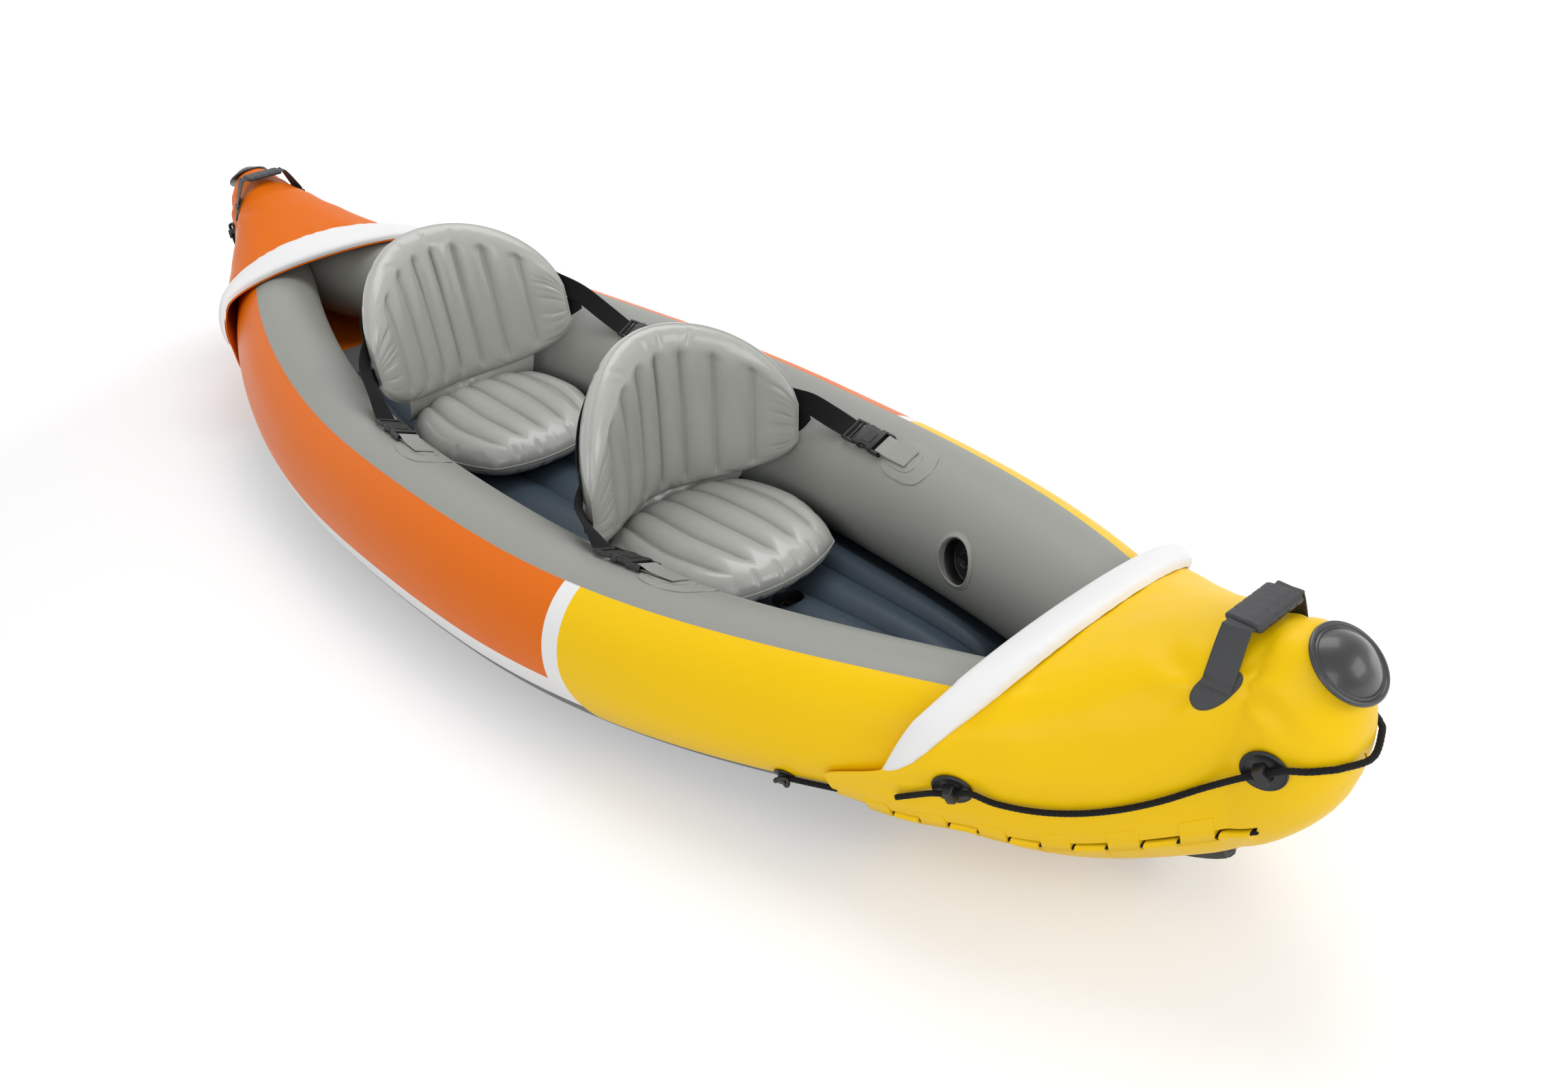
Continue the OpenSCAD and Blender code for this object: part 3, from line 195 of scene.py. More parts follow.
def feed(shader, **wires):
    names = {"colour": "Base Color", "rough": "Roughness", "normal": "Normal", "coat": "Coat Weight"}
    for key, wire in wires.items():
        wire.tree.links.new(wire.socket, shader.inputs[names[key]])


def bumped(height, strength, distance):
    values = {"Strength": strength, "Distance": distance, "Height": height}
    return height.node("ShaderNodeBump", {}, values)


tones = {
    "grey": paint(152, 153, 147),
    "seatGrey": paint(175, 176, 170),
    "weldGrey": paint(178, 179, 174),
    "yellow": paint(248, 202, 0),
    "orange": paint(228, 110, 4),
    "white": paint(238, 238, 238),
    "floorBlue": paint(64, 76, 87),
    "bottom": paint(96, 98, 98),
    "black": paint(15, 15, 16),
    "darkGrey": paint(52, 53, 55),
    "rubber": paint(44, 45, 48),
    "thread": paint(36, 36, 38),
    "webbing": (paint(8, 8, 9), paint(25, 25, 27)),
    # rope: the lighter tone is a painted highlight on the braid crests
    "rope": (paint(7, 7, 8), paint(28, 28, 30)),
    # cap: the lighter tone is a painted highlight on the mesh threads, over a random mottling
    "cap": (paint(20, 21, 23), paint(38, 39, 42)),
}
filmLook = {
    "cloud": 4.0, "soft": 11.0, "fine": 650.0, "tint": 0.05, "cloudRough": 0.14, "fineRough": 0.05, "fineHeight": 0.012,
    "bump": (0.35, 0.004), "shine": 0.2,
}


# welded vinyl film: faint mottling, a soft waviness and a fine pressed grain
def filmParts(spot, base, rough, waves):
    cloud = spot.grain(filmLook["cloud"], 4.0)
    soft = spot.grain(filmLook["soft"], 2.0)
    fine = spot.grain(filmLook["fine"], 1.0)
    low, high = (1 - filmLook["tint"], 1 + filmLook["tint"])
    if isinstance(base, Wire):
        colour = base.tinted(cloud.mixed(shaded(white, low), white))
    else:
        colour = cloud.mixed(shaded(base, low), shaded(base, high))
    cloudRough, fineRough = filmLook["cloudRough"], filmLook["fineRough"]
    gloss = cloud * cloudRough + fine * fineRough + (rough - (cloudRough + fineRough) / 2)
    return colour, gloss, soft * waves + fine * filmLook["fineHeight"]


def filmFinish(name, base, rough=0.36, waves=0.5, coat=0.0, shine=filmLook["shine"]):
    fixed = {"Coat Weight": coat, "Coat Roughness": 0.16, "Specular IOR Level": shine}
    finish, shader, spot = newFinish(name, fixed)
    colour, gloss, height = filmParts(spot, base, rough, waves)
    feed(shader, colour=colour, rough=gloss, normal=bumped(height, *filmLook["bump"]))
    return finish


# the side tubes' print: grey inside the seam, then orange, a white stripe and yellow, by angle and station
hullPrint = {
    "seam": 19.0, "stripe": 0.457, "stripeWidth": 0.034, "stripeLean": 0.00045, "leanFrom": 17.5, "stripeSoft": 0.0006,
    "orangeLow": 94.0, "whiteLow": 112.0, "yellowLow": 124.0, "soft": 0.22,
    "flareFrom": 80, "flareBend": 1.6, "flare": 0.00006, "lapAt": 0.4, "lapWidth": 0.5, "lapHeight": 0.25,
}


def hullFinish():
    look = hullPrint
    finish, shader, spot = newFinish("hullFilm", {"Coat Roughness": 0.2, "Specular IOR Level": filmLook["shine"]})
    around, station = spot.node("ShaderNodeUVMap", {"uv_map": "wrapUv"}).parts()
    angle = around * 100
    outside, orangeEnd, whiteEnd, yellowEnd = (
        angle.step(look[key], look["soft"]) for key in ("seam", "orangeLow", "whiteLow", "yellowLow"))
    past = angle - look["flareFrom"]
    flare = past.sum("MAXIMUM", past, 0.0) ** look["flareBend"] * look["flare"]
    left = (angle - look["leanFrom"]) * look["stripeLean"] + look["stripe"]
    right = left + look["stripeWidth"] + flare
    ahead, behind = station.step(right, look["stripeSoft"]), left.step(station, look["stripeSoft"])
    orange = behind * (1 - orangeEnd)
    yellow = ahead * (1 - yellowEnd)
    under = whiteEnd * (1 - ahead) + yellowEnd * ahead
    printed = yellow.mixed(orange.mixed(tones["white"], tones["orange"]), tones["yellow"])
    bare = under.held().mixed(printed, tones["bottom"])
    shade, gloss, height = filmParts(spot, outside.mixed(tones["grey"], bare), 0.4, 0.55)
    lap = 1 - ((angle - look["seam"] - look["lapAt"]).size() / look["lapWidth"]).held()
    feed(shader, colour=shade, rough=gloss, normal=bumped(height + lap * look["lapHeight"], *filmLook["bump"]))
    return finish


webbingLook = {"ribs": 2600, "wefts": 2100, "slant": 1300, "edgeAt": 0.0165, "edgeSoft": 0.0012}


def webbingFinish():
    fixed = {"Sheen Weight": 0.04, "Sheen Roughness": 0.4, "Specular IOR Level": 0.2}
    finish, shader, spot = newFinish("webbing", fixed, uv=True)
    across, along = spot.parts()
    rib = (across * webbingLook["ribs"]).wave().raised()
    weft = (along * webbingLook["wefts"] + across * webbingLook["slant"]).wave().raised()
    edge = across.size().step(webbingLook["edgeAt"], webbingLook["edgeSoft"])
    height = rib * 0.5 + weft * 0.6 + edge * 0.4
    colour = (height * 0.55).held().mixed(*tones["webbing"])
    feed(shader, colour=colour, rough=0.86 - height * 0.12, normal=bumped(height, 0.6, 0.0006))
    return finish


ropeLook = {"yarns": 3800, "yarnTurn": 50, "lays": 900, "layTurn": 12}


def ropeFinish():
    finish, shader, spot = newFinish("braidedRope", {"Sheen Weight": 0.03, "Specular IOR Level": 0.2}, uv=True)
    around, along = spot.parts()
    yarn = (along * ropeLook["yarns"] + around * ropeLook["yarnTurn"]).wave()
    lay = (along * ropeLook["lays"] - around * ropeLook["layTurn"]).wave()
    braid = (yarn * lay).raised()
    # the raised braid takes the lighter rope tone: a painted highlight
    feed(shader, colour=braid.mixed(*tones["rope"]), rough=0.9 - braid * 0.2, normal=bumped(braid, 0.5, 0.0005))
    return finish


def plasticFinish(name, base, rough, grain=900.0, depth=0.12):
    finish, shader, spot = newFinish(name, {})
    fine = spot.grain(grain, 2.0)
    cloud = spot.grain(30.0, 3.0)
    colour = cloud.mixed(shaded(base, 0.88), shaded(base, 1.14))
    gloss = cloud * 0.16 + fine * 0.08 + (rough - 0.12)
    feed(shader, colour=colour, rough=gloss, normal=bumped(fine, depth, 0.0006))
    return finish


# nose cap: a glossy skin over a fine woven mesh, whose threads are painted lighter as a painted highlight
def capFinish(threads=2900):
    finish, shader, spot = newFinish("capVinyl", {"Coat Roughness": 0.12}, uv=True)
    right, up = spot.parts()
    mesh = ((right * threads).wave() * (up * threads).wave()).size()
    cloud = spot.grain(60.0, 3.0)
    # the mesh threads are painted lighter (painted highlight); the cloud adds a random mottling
    colour = (mesh * 0.6 + cloud * 0.3).held().mixed(*tones["cap"])
    gloss = cloud * 0.14 + mesh * 0.1 + 0.2
    feed(shader, colour=colour, rough=gloss, normal=bumped(mesh + cloud, 0.16, 0.0006), coat=0.55 - mesh * 0.3)
    return finish


def fabricFinish(name, base, rough, threads=3100):
    finish, shader, spot = newFinish(name, {}, uv=True)
    across, along = spot.parts()
    weave = ((across * threads).wave() * (along * threads).wave()).raised()
    cloud = spot.grain(45.0, 3.0)
    colour = (weave * 0.5 + cloud * 0.5).held().mixed(shaded(base, 0.84), shaded(base, 1.18))
    gloss = rough - weave * 0.1 + cloud * 0.1 - 0.05
    feed(shader, colour=colour, rough=gloss, normal=bumped(weave + cloud * 0.6, 0.3, 0.0005))
    return finish


finishes = {
    "hull": hullFinish(),
    "grey": filmFinish("greyFilm", tones["grey"], 0.4),
    "seat": filmFinish("seatFilm", tones["seatGrey"], 0.27, 0.35, 0.3, 0.45),
    "weld": filmFinish("weldFilm", tones["weldGrey"], 0.34, 0.1),
    "yellow": filmFinish("yellowFilm", tones["yellow"], 0.4, 0.8),
    "orange": filmFinish("orangeFilm", tones["orange"], 0.4, 0.8),
    "white": filmFinish("whiteFilm", tones["white"], 0.4, 0.6),
    "floor": filmFinish("floorFilm", tones["floorBlue"], 0.42, 0.5),
    "bottom": filmFinish("bottomFilm", tones["bottom"], 0.5, 0.4),
    "webbing": webbingFinish(),
    "rope": ropeFinish(),
    "black": plasticFinish("blackPlastic", tones["black"], 0.42),
    "skeg": plasticFinish("skegPlastic", tones["darkGrey"], 0.5),
    "cap": capFinish(),
    "handle": fabricFinish("handleFabric", tones["darkGrey"], 0.66),
    "grip": plasticFinish("gripRubber", tones["rubber"], 0.5, 500.0, 0.2),
    "thread": plasticFinish("blackThread", tones["thread"], 0.7),
}
print("finishes made")


def rayShare(tree, *kinds):
    path = tree.nodes.new("ShaderNodeLightPath")
    share = Wire(tree, path.outputs[kinds[0]])
    for kind in kinds[1:]:
        share = share + Wire(tree, path.outputs[kind])
    return share.held()


def setWorld():
    world = bpy.data.worlds.new("softStudio")
    scene.world = world
    world.use_nodes = True
    tree = world.node_tree
    back = tree.nodes["Background"]
    shown = rayShare(tree, "Is Camera Ray", "Is Glossy Ray", "Is Transmission Ray")
    level = shown * (1 - studio["worldLight"]) + studio["worldLight"]
    back.inputs["Color"].default_value = white
    tree.links.new(level.socket, back.inputs["Strength"])


def setFloor():
    fixed = {"Base Color": studio["floorTone"], "Roughness": studio["floorRough"], "Emission Color": white}
    finish, shader, place = newFinish("paleFloor", fixed)
    tree = finish.node_tree
    seen = rayShare(tree, "Is Camera Ray", "Is Glossy Ray")
    far = place.node("ShaderNodeVectorMath", {"operation": "LENGTH"}, {0: place}, 1)
    bright = ((far - studio["whiteFrom"]) / studio["whiteOver"]).held()
    glow = bright * (1 - studio["floorLift"]) + studio["floorLift"]
    tree.links.new((seen * glow).socket, shader.inputs["Emission Strength"])
    mesh = bpy.data.meshes.new("paleFloor")
    corners = ((-1, -1), (1, -1), (1, 1), (-1, 1))
    half, z = studio["floorHalf"], studio["floorZ"]
    mesh.from_pydata([(x * half, y * half, z) for x, y in corners], [], [(0, 1, 2, 3)])
    mesh.materials.append(finish)
    floor = bpy.data.objects.new("paleFloor", mesh)
    scene.collection.objects.link(floor)


setWorld()
setFloor()


# meshes: a part is (points in mm, faces, corner uv)
def gridFaces(rows, cols, start=0):
    i, j = np.meshgrid(np.arange(rows - 1), np.arange(cols - 1), indexing="ij")
    corner = i * cols + j
    return (start + np.stack([corner, corner + 1, corner + cols + 1, corner + cols], -1)).reshape(-1, 4)


def gridPart(points, uv=None, caps=False):
    rows, cols = points.shape[:2]
    faces = gridFaces(rows, cols)
    flat = np.zeros((rows * cols, 2)) if uv is None else uv.reshape(-1, 2)
    corners = flat[faces.ravel()]
    faces = faces.tolist()
    if caps:  # a ring's first point is repeated at its end
        for ring in (list(range(cols - 1)), list(range((rows - 1) * cols, rows * cols - 1))):
            faces.append(ring)
            corners = np.concatenate([corners, flat[ring]])
    return points.reshape(-1, 3), faces, corners


def rimOf(grid):  # what lies round a grid's edge, in order
    return np.concatenate([grid[0, :-1], grid[:-1, -1], grid[-1, :0:-1], grid[:0:-1, 0]])


def pillowPart(face, back, uv=None):
    rows, cols = face.shape[:2]
    base = rows * cols
    index = np.arange(base).reshape(rows, cols)
    edge = rimOf(index)
    ahead = np.roll(edge, -1)
    rim = np.stack([ahead, edge, edge + base, ahead + base], -1)
    faces = np.concatenate([gridFaces(rows, cols), gridFaces(rows, cols, base)[:, ::-1], rim])
    flat = np.zeros((base, 2)) if uv is None else uv.reshape(-1, 2)
    return np.concatenate([face.reshape(-1, 3), back.reshape(-1, 3)]), faces.tolist(), flat[faces.ravel() % base]


def meshPart(bm):
    bm.verts.index_update()
    points = np.array([v.co for v in bm.verts])
    faces = [[v.index for v in f.verts] for f in bm.faces]
    bm.free()
    return points, faces, np.zeros((sum(map(len, faces)), 2))


def placed(part, origin, ex, ey, ez):
    points, faces, corners = part
    return np.asarray(origin) + points @ np.array([ex, ey, ez]), faces, corners


def scaled(part, x=1, y=1, z=1):
    return part[0] * np.array([x, y, z]), part[1], part[2]


def bothSides(part):
    return [part, scaled(part, y=-1)]


def makePiece(name, parts, finish, sharp=None):
    points, faces, corners, start = [], [], [], 0
    for p, f, c in parts:
        points.append(p)
        faces += [[k + start for k in face] for face in f]
        corners.append(c)
        start += len(p)
    mesh = bpy.data.meshes.new(name)
    mesh.from_pydata((np.concatenate(points) / 1000).tolist(), [], faces)
    layer = mesh.uv_layers.new(name="wrapUv")
    layer.data.foreach_set("uv", np.concatenate(corners).astype(np.float32).ravel())
    bm = bmesh.new()
    bm.from_mesh(mesh)
    bmesh.ops.remove_doubles(bm, verts=bm.verts, dist=2e-6)
    bmesh.ops.dissolve_degenerate(bm, edges=bm.edges, dist=1e-6)
    bmesh.ops.recalc_face_normals(bm, faces=bm.faces)
    bm.to_mesh(mesh)
    bm.free()
    mesh.shade_smooth()
    if sharp:
        mesh.set_sharp_from_angle(angle=math.radians(sharp))
    mesh.materials.append(finish)
    piece = bpy.data.objects.new(name, mesh)
    scene.collection.objects.link(piece)
    return piece


def settle(piece):  # modifiers become the mesh
    bpy.context.view_layer.update()
    mesh = bpy.data.meshes.new_from_object(piece.evaluated_get(bpy.context.evaluated_depsgraph_get()))
    piece.modifiers.clear()
    old = piece.data
    piece.data = mesh
    mesh.name = piece.name
    bpy.data.meshes.remove(old)
    return piece


def cutPocket(piece, look, spot, axes, sides, flip=1):
    half, depth = look["valveD"] / 2, look["valveDepth"]
    drum = placed(lathePart([(0, -depth), (half, -depth), (half, depth), (0, depth)], sides), spot, *axes)
    tool = makePiece("punch", [scaled(drum, y=flip)], piece.data.materials[0])
    cut = piece.modifiers.new("pocket", "BOOLEAN")
    cut.operation, cut.solver, cut.object = "DIFFERENCE", "EXACT", tool
    settle(piece)
    bpy.data.objects.remove(tool)


def mount(piece, body, slot, *nodes):
    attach(piece, body)
    if nodes:
        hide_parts(*nodes)
    return piece


def put(name, parts, look, sharp, body, slot, *nodes):  # a piece made and mounted at once
    return mount(makePiece(name, parts, finishes[look], sharp), body, slot, *nodes)


def unit(v):
    v = np.asarray(v, float)
    return v / np.linalg.norm(v, axis=-1, keepdims=True)


def mix(a, b, t):
    return a + (b - a) * t


def ease(t):
    c = np.clip(t, 0, 1)
    return c * c * (3 - 2 * c)


def runAlong(line):  # the distance covered at each point
    return np.concatenate([[0], np.cumsum(np.linalg.norm(np.diff(line, axis=0), axis=1))])


def smoothPath(points, count):  # a rounded line through points, evenly spaced
    points = np.asarray(points, float)
    ends = np.concatenate([[2 * points[0] - points[1]], points, [2 * points[-1] - points[-2]]])
    line = []
    for k in range(len(points) - 1):
        a, b, c, d = ends[k:k + 4]
        t = np.linspace(0, 1, 24, endpoint=False)[:, None]
        line.append(0.5 * (2 * b + (c - a) * t + (2 * a - 5 * b + 4 * c - d) * t**2 + (3 * b - a - 3 * c + d) * t**3))
    line = np.concatenate(line + [points[-1:]])
    run = runAlong(line)
    at = np.linspace(0, run[-1], count)
    return np.stack([np.interp(at, run, line[:, k]) for k in range(3)], -1)


def pathLength(line):
    return float(np.linalg.norm(np.diff(line, axis=0), axis=1).sum())


def framesAlong(line, start):  # directions across a path that don't twist
    ahead = unit(np.gradient(line, axis=0))
    side = unit(np.cross(ahead[0], start))
    sides = []
    for t in ahead:
        side = unit(side - t * (side @ t))
        sides.append(side)
    sides = np.array(sides)
    return sides, np.cross(ahead, sides)


def cordPart(line, radius, sides=14, lay=0.0, pitch=12.0, strands=3):
    side, up = framesAlong(line, (0, 0, 1))
    run = runAlong(line)
    turn = np.linspace(0, 2 * np.pi, sides + 1)
    s, a = np.meshgrid(run, turn, indexing="ij")
    left = np.sin(strands * (a + 2 * np.pi * s / pitch / strands))
    right = np.sin(strands * (a - 2 * np.pi * s / pitch / strands))
    r = radius * (1 - lay + lay * np.maximum(left, right))
    points = line[:, None] + r[..., None] * (np.cos(a)[..., None] * side[:, None] + np.sin(a)[..., None] * up[:, None])
    points[:, -1] = points[:, 0]
    return gridPart(points, np.stack([a / 6.2832, s / 1000], -1), caps=True)


def lathePart(profile, sides=64):
    profile = np.asarray(profile, float)
    turn = np.linspace(0, 2 * np.pi, sides + 1)
    r, a = np.meshgrid(profile[:, 0], turn, indexing="ij")
    points = np.stack([r * np.cos(a), r * np.sin(a), np.repeat(profile[:, 1:], sides + 1, 1)], -1)
    points[:, -1] = points[:, 0]
    return gridPart(points, points[..., :2] / 1000)


def bandPart(line, across, width, thick):  # flat webbing with rounded edges
    ahead = unit(np.gradient(line, axis=0))
    flat = unit(np.cross(ahead, across))
    wide = np.cross(flat, ahead)
    f = np.linspace(0, 2 * np.pi, 25)
    u = np.sign(np.cos(f)) * np.abs(np.cos(f)) ** 0.22 * width / 2
    v = np.sign(np.sin(f)) * np.abs(np.sin(f)) ** 0.6 * thick / 2
    points = line[:, None] + u[None, :, None] * wide[:, None] + v[None, :, None] * flat[:, None]
    points[:, -1] = points[:, 0]
    run = runAlong(line)
    uv = np.stack(np.meshgrid(run, u, indexing="ij")[::-1], -1) / 1000
    return gridPart(points, uv, caps=True)


def platePart(outline, low, high, bevel=1.0, segments=2):  # a flat outline raised to a plate with rounded edges
    bm = bmesh.new()
    face = bm.faces.new([bm.verts.new((x, y, low)) for x, y in outline])
    raised = bmesh.ops.extrude_face_region(bm, geom=[face])["geom"]
    for v in raised:
        if isinstance(v, bmesh.types.BMVert):
            v.co.z = high
    if bevel:
        bmesh.ops.bevel(bm, geom=bm.edges[:], offset=bevel, segments=segments, profile=0.5, affect="EDGES",
                        clamp_overlap=True)
    return meshPart(bm)


def roundedBox(x, y, r, steps=5):
    corners = [(1, 1, 0), (-1, 1, 90), (-1, -1, 180), (1, -1, 270)]
    turn = np.radians(np.linspace(0, 90, steps))
    return [(sx * (x / 2 - r) + r * math.cos(t + math.radians(a)), sy * (y / 2 - r) + r * math.sin(t + math.radians(a)))
            for sx, sy, a in corners for t in turn]


# the lines of the hull, in mm, as the frame has them
hull = {
    "halfLength": 1505, "beam": 916, "tubeR": 123, "endR": 80, "meetX": 1400, "flatHalf": 250, "rocker": 78,
    "prowRise": 118, "prowSwell": 66, "prowX": 1130, "tubeTip": 1483, "skin": 2, "gap": 0.3,
}
cover = {
    "edgeX": 1112, "sternShift": 44, "sweep": 60, "lobe": 85, "lobeW": 0.7, "edgeZ": 328, "gap": 7, "bulge": 24,
    "sag": 30, "sagX": 930, "shoulder": 50, "laceA": 137, "ridgeBend": 1.15, "capLean": 54, "capCut": 7, "sleeveD": 15,
}


def along(x):
    return np.minimum(1, np.abs(x) / hull["meetX"])


def prow(x):
    return ease((np.abs(x) - hull["prowX"]) / (hull["halfLength"] - hull["prowX"]))


def lift(x):
    past = np.clip((np.abs(x) - hull["flatHalf"]) / (hull["meetX"] - hull["flatHalf"]), 0, 1)
    return hull["rocker"] * (1 - (1 - past**2) ** 2.4)


def girth(x):
    return mix(hull["tubeR"], hull["endR"], along(x) ** 3)


def tall(x):
    return girth(x) + hull["prowSwell"] * np.sqrt(prow(x))


def rounding(x, tip):
    return np.sqrt(np.maximum(0, 1 - (np.maximum(0, np.abs(x) - hull["meetX"]) / (tip - hull["meetX"])) ** 2))


def bottomZ(x):
    return lift(x) + hull["tubeR"] - girth(x)


def tubeY(x):
    return (hull["beam"] / 2 - hull["tubeR"]) * (1 - along(x) ** 2.28)


def tubeZ(x):
    return hull["skin"] + hull["gap"] + hull["tubeR"] + lift(x) + hull["prowRise"] * prow(x) ** 1.3


def roundPoint(x, a, off, tip):
    x, a, off = np.broadcast_arrays(np.asarray(x, float), np.asarray(a, float), np.asarray(off, float))
    t = np.radians(a)
    return np.stack([x, tubeY(x) + (girth(x) * rounding(x, tip) + off) * np.sin(t),
                     tubeZ(x) + (tall(x) * rounding(x, tip) + off) * np.cos(t)], -1)


def tubePoint(x, a, off=0.0):
    return roundPoint(x, a, off, hull["tubeTip"])


def tubeFrame(x, a):  # forward, across and outward on the port tube
    ahead = unit(tubePoint(x + 1, a) - tubePoint(x - 1, a))
    out = unit(np.cross(ahead, tubePoint(x, a + 1) - tubePoint(x, a - 1)))
    return ahead, np.cross(out, ahead), out


def ridgeEnd(x):
    return tubeZ(x) + tall(x) * rounding(x, hull["halfLength"]) + cover["gap"]


def ridge(x):
    far, top = hull["meetX"], ridgeEnd(np.float64(hull["meetX"]))
    back = np.clip((far - np.abs(x)) / (far - cover["edgeX"]), 0, None)
    return np.where(np.abs(x) >= far, ridgeEnd(x), top - (top - cover["edgeZ"]) * back ** cover["ridgeBend"])


def sleeveTurn(x):
    return np.degrees((cover["sleeveD"] / 2 + 2 * hull["gap"]) / (girth(x) + cover["gap"]))


def sag(x, a):
    rise = ease((np.abs(x) - cover["sagX"]) / 150) * ease((hull["halfLength"] - 20 - np.abs(x)) / 120)
    return cover["sag"] * ease((a - 100) / 80) * rise


def skinPoint(x, a, off=0.0):
    return roundPoint(x, a, cover["gap"] + sag(x, a) + off, hull["halfLength"])


def coverFlank(x, w, off):
    far = hull["meetX"]
    swell = cover["bulge"] * ease((far - np.abs(x)) / (far - cover["edgeX"])) * ease((0.85 - w) / 0.35)
    return skinPoint(x, mix(cover["shoulder"], cover["laceA"] - sleeveTurn(x), 2 * w - 1), swell + off)


capLean = math.radians(cover["capLean"])
capOut = np.array([math.cos(capLean), 0, math.sin(capLean)])
capTurn = math.atan(float(tall(hull["halfLength"])) / (hull["halfLength"] - hull["meetX"]) / math.tan(capLean))
capX = hull["meetX"] + (hull["halfLength"] - hull["meetX"]) * math.sin(capTurn)
capMiddle = np.array([capX, 0, float(ridgeEnd(np.float64(capX)))]) - cover["capCut"] * capOut


def coverPoint(x, w, off=0.0):
    x, w, off = np.broadcast_arrays(np.asarray(x, float), np.asarray(w, float), np.asarray(off, float))
    u = np.abs(w)
    flank = coverFlank(x, np.maximum(u, 0.5), off)
    shoulder = coverFlank(x, np.full_like(u, 0.5), off)
    top, t = ridge(x) + off, 2 * np.minimum(u, 0.5)
    sy, sz = shoulder[..., 1], shoulder[..., 2]
    c = np.maximum(0.25 * sy, sy - (top - sz) * girth(x) / tall(x) / math.tan(math.radians(cover["shoulder"])))
    arch = np.stack([x, 2 * t * (1 - t) * c + t * t * sy, (1 - t * t) * top + t * t * sz], -1)
    p = np.where((u > 0.5)[..., None], flank, arch)
    over = np.maximum(0, (p - capMiddle) @ capOut - off)
    p = p - over[..., None] * capOut
    p[..., 1] *= np.where(w < 0, -1, 1)
    return p


def coverEdge(w, shift):
    u = np.abs(w)
    return (cover["edgeX"] - shift - cover["sweep"] * np.minimum(1, u / cover["lobeW"]) ** 2
            - (cover["lobe"] - shift) * ease((u - cover["lobeW"]) / 0.12))


def coverFrame(x, w):
    ahead = unit(coverPoint(x + 1, w) - coverPoint(x - 1, w))
    out = unit(np.cross(ahead, coverPoint(x, w + 0.01) - coverPoint(x, w - 0.01)))
    return ahead, np.cross(out, ahead), out


def ripples(points, scale, seed):
    shift = Vector((seed, 0, 0))
    values = [noise.noise(Vector(p) * scale + shift) for p in points.reshape(-1, 3)]
    return np.array(values).reshape(points.shape[:-1])


ends = (("bow", 1), ("stern", -1))
edgeShift = {1: 0, -1: cover["sternShift"]}
endTone = {1: "yellow", -1: "orange"}
flanks = (("port", 1), ("starboard", -1))

# grab lines: distance back from the nose and place across the cover, between the holders
grabLine = {
    "tail": [(445, 0.85), (420, 0.81)],
    "sag": [(325, 0.78), (285, 0.81), (245, 0.825), (205, 0.828), (165, 0.818), (125, 0.793)],
    "nose": [(30, 0.735), (17, 0.732), (8, 0.73)],
    "holders": [(373, 0.742), (67, 0.745)], "turn": -14, "block": 16, "disc": 52,
    "diameter": 8.0, "clear": 1.8, "rise": 8.9, "noseClear": 5, "noseDip": 4, "steps": 760,
    "tieBack": 612, "tieA": 122, "tieD": 18, "tieH": 15, "braid": (16, 0.12, 13.0, 4), "every": 2,
}


def ropeRun(places):
    half = hull["halfLength"]
    standOff = grabLine["diameter"] / 2 + grabLine["clear"]
    return [coverPoint(half - d, w) + standOff * coverFrame(half - d, w)[2] for d, w in places]


def holderFrame(place):
    x, w = hull["halfLength"] - place[0], place[1]
    return coverPoint(x, w), coverFrame(x, w)


def throughHolder(place):
    middle, (ex, ey, ez) = holderFrame(place)
    turn = math.radians(grabLine["turn"])
    way = ex * math.cos(turn) + ey * math.sin(turn)
    near, far = grabLine["block"] / 2 + grabLine["clear"], grabLine["disc"] / 2 + grabLine["clear"]
    return [middle + grabLine["rise"] * ez + t * way for t in (-far, -near, near, far)]


def grabLinePath():
    half = np.array(ropeRun(grabLine["tail"]) + throughHolder(grabLine["holders"][0]) + ropeRun(grabLine["sag"])
                    + throughHolder(grabLine["holders"][1]) + ropeRun(grabLine["nose"]))
    ahead = hull["halfLength"] + grabLine["diameter"] / 2 + grabLine["noseClear"]
    nose = np.array([[ahead, 0, half[-1][2] - grabLine["noseDip"]]])
    return smoothPath(np.concatenate([half * (1, -1, 1), nose, half[::-1]]), grabLine["steps"])


def ropePiece(name, path, look, node):
    rope = makePiece(name, [cordPart(path, look["diameter"] / 2, *look["braid"])], finishes["rope"])
    mount(rope, "hull", "rope", node)
    pathLength(path) / 1000


def makeGrabLines():
    line = grabLinePath()
    first = hull["halfLength"] - grabLine["tieBack"] + grabLine["tieD"] / 2 - 3
    x = np.linspace(first, cover["edgeX"] - cover["sweep"] - cover["lobe"] + 4, 41)
    tail = tubePoint(x, grabLine["tieA"], grabLine["diameter"] / 2 + grabLine["clear"])
    for end, sign in ends:
        ropePiece(end + "GrabLine", line * (sign, 1, 1), grabLine, end + "_grab_line")
        for side, flip in flanks:
            ropePiece(end + side.title() + "LineTail", tail * (sign, flip, 1), grabLine, end + "_grab_line")


lacing = {
    "start": 1000, "end": 1430, "diameter": 7.0, "count": 12, "gap": 4, "sleeve": 31, "hem": 6.4, "reach": 24,
    "braid": (12, 0.1, 11.0, 3), "every": 1,
}


def lacePoint(x):
    return skinPoint(x, cover["laceA"], -hull["skin"] / 2)


def makeLacings():
    x = np.linspace(lacing["start"], lacing["end"], 160)
    line = lacePoint(x)
    for end, sign in ends:
        for side, flip in flanks:
            ropePiece(end + side.title() + "Lacing", line * (sign, flip, 1), lacing, end + "_lacing")


makeGrabLines()
makeLacings()
print("ropes and lacings made")

# side tubes, with a pocket for the valve in each
tubes = {"steps": 300, "sides": 96, "valveX": 790, "valveA": -76, "valveD": 74, "valveDepth": 30}


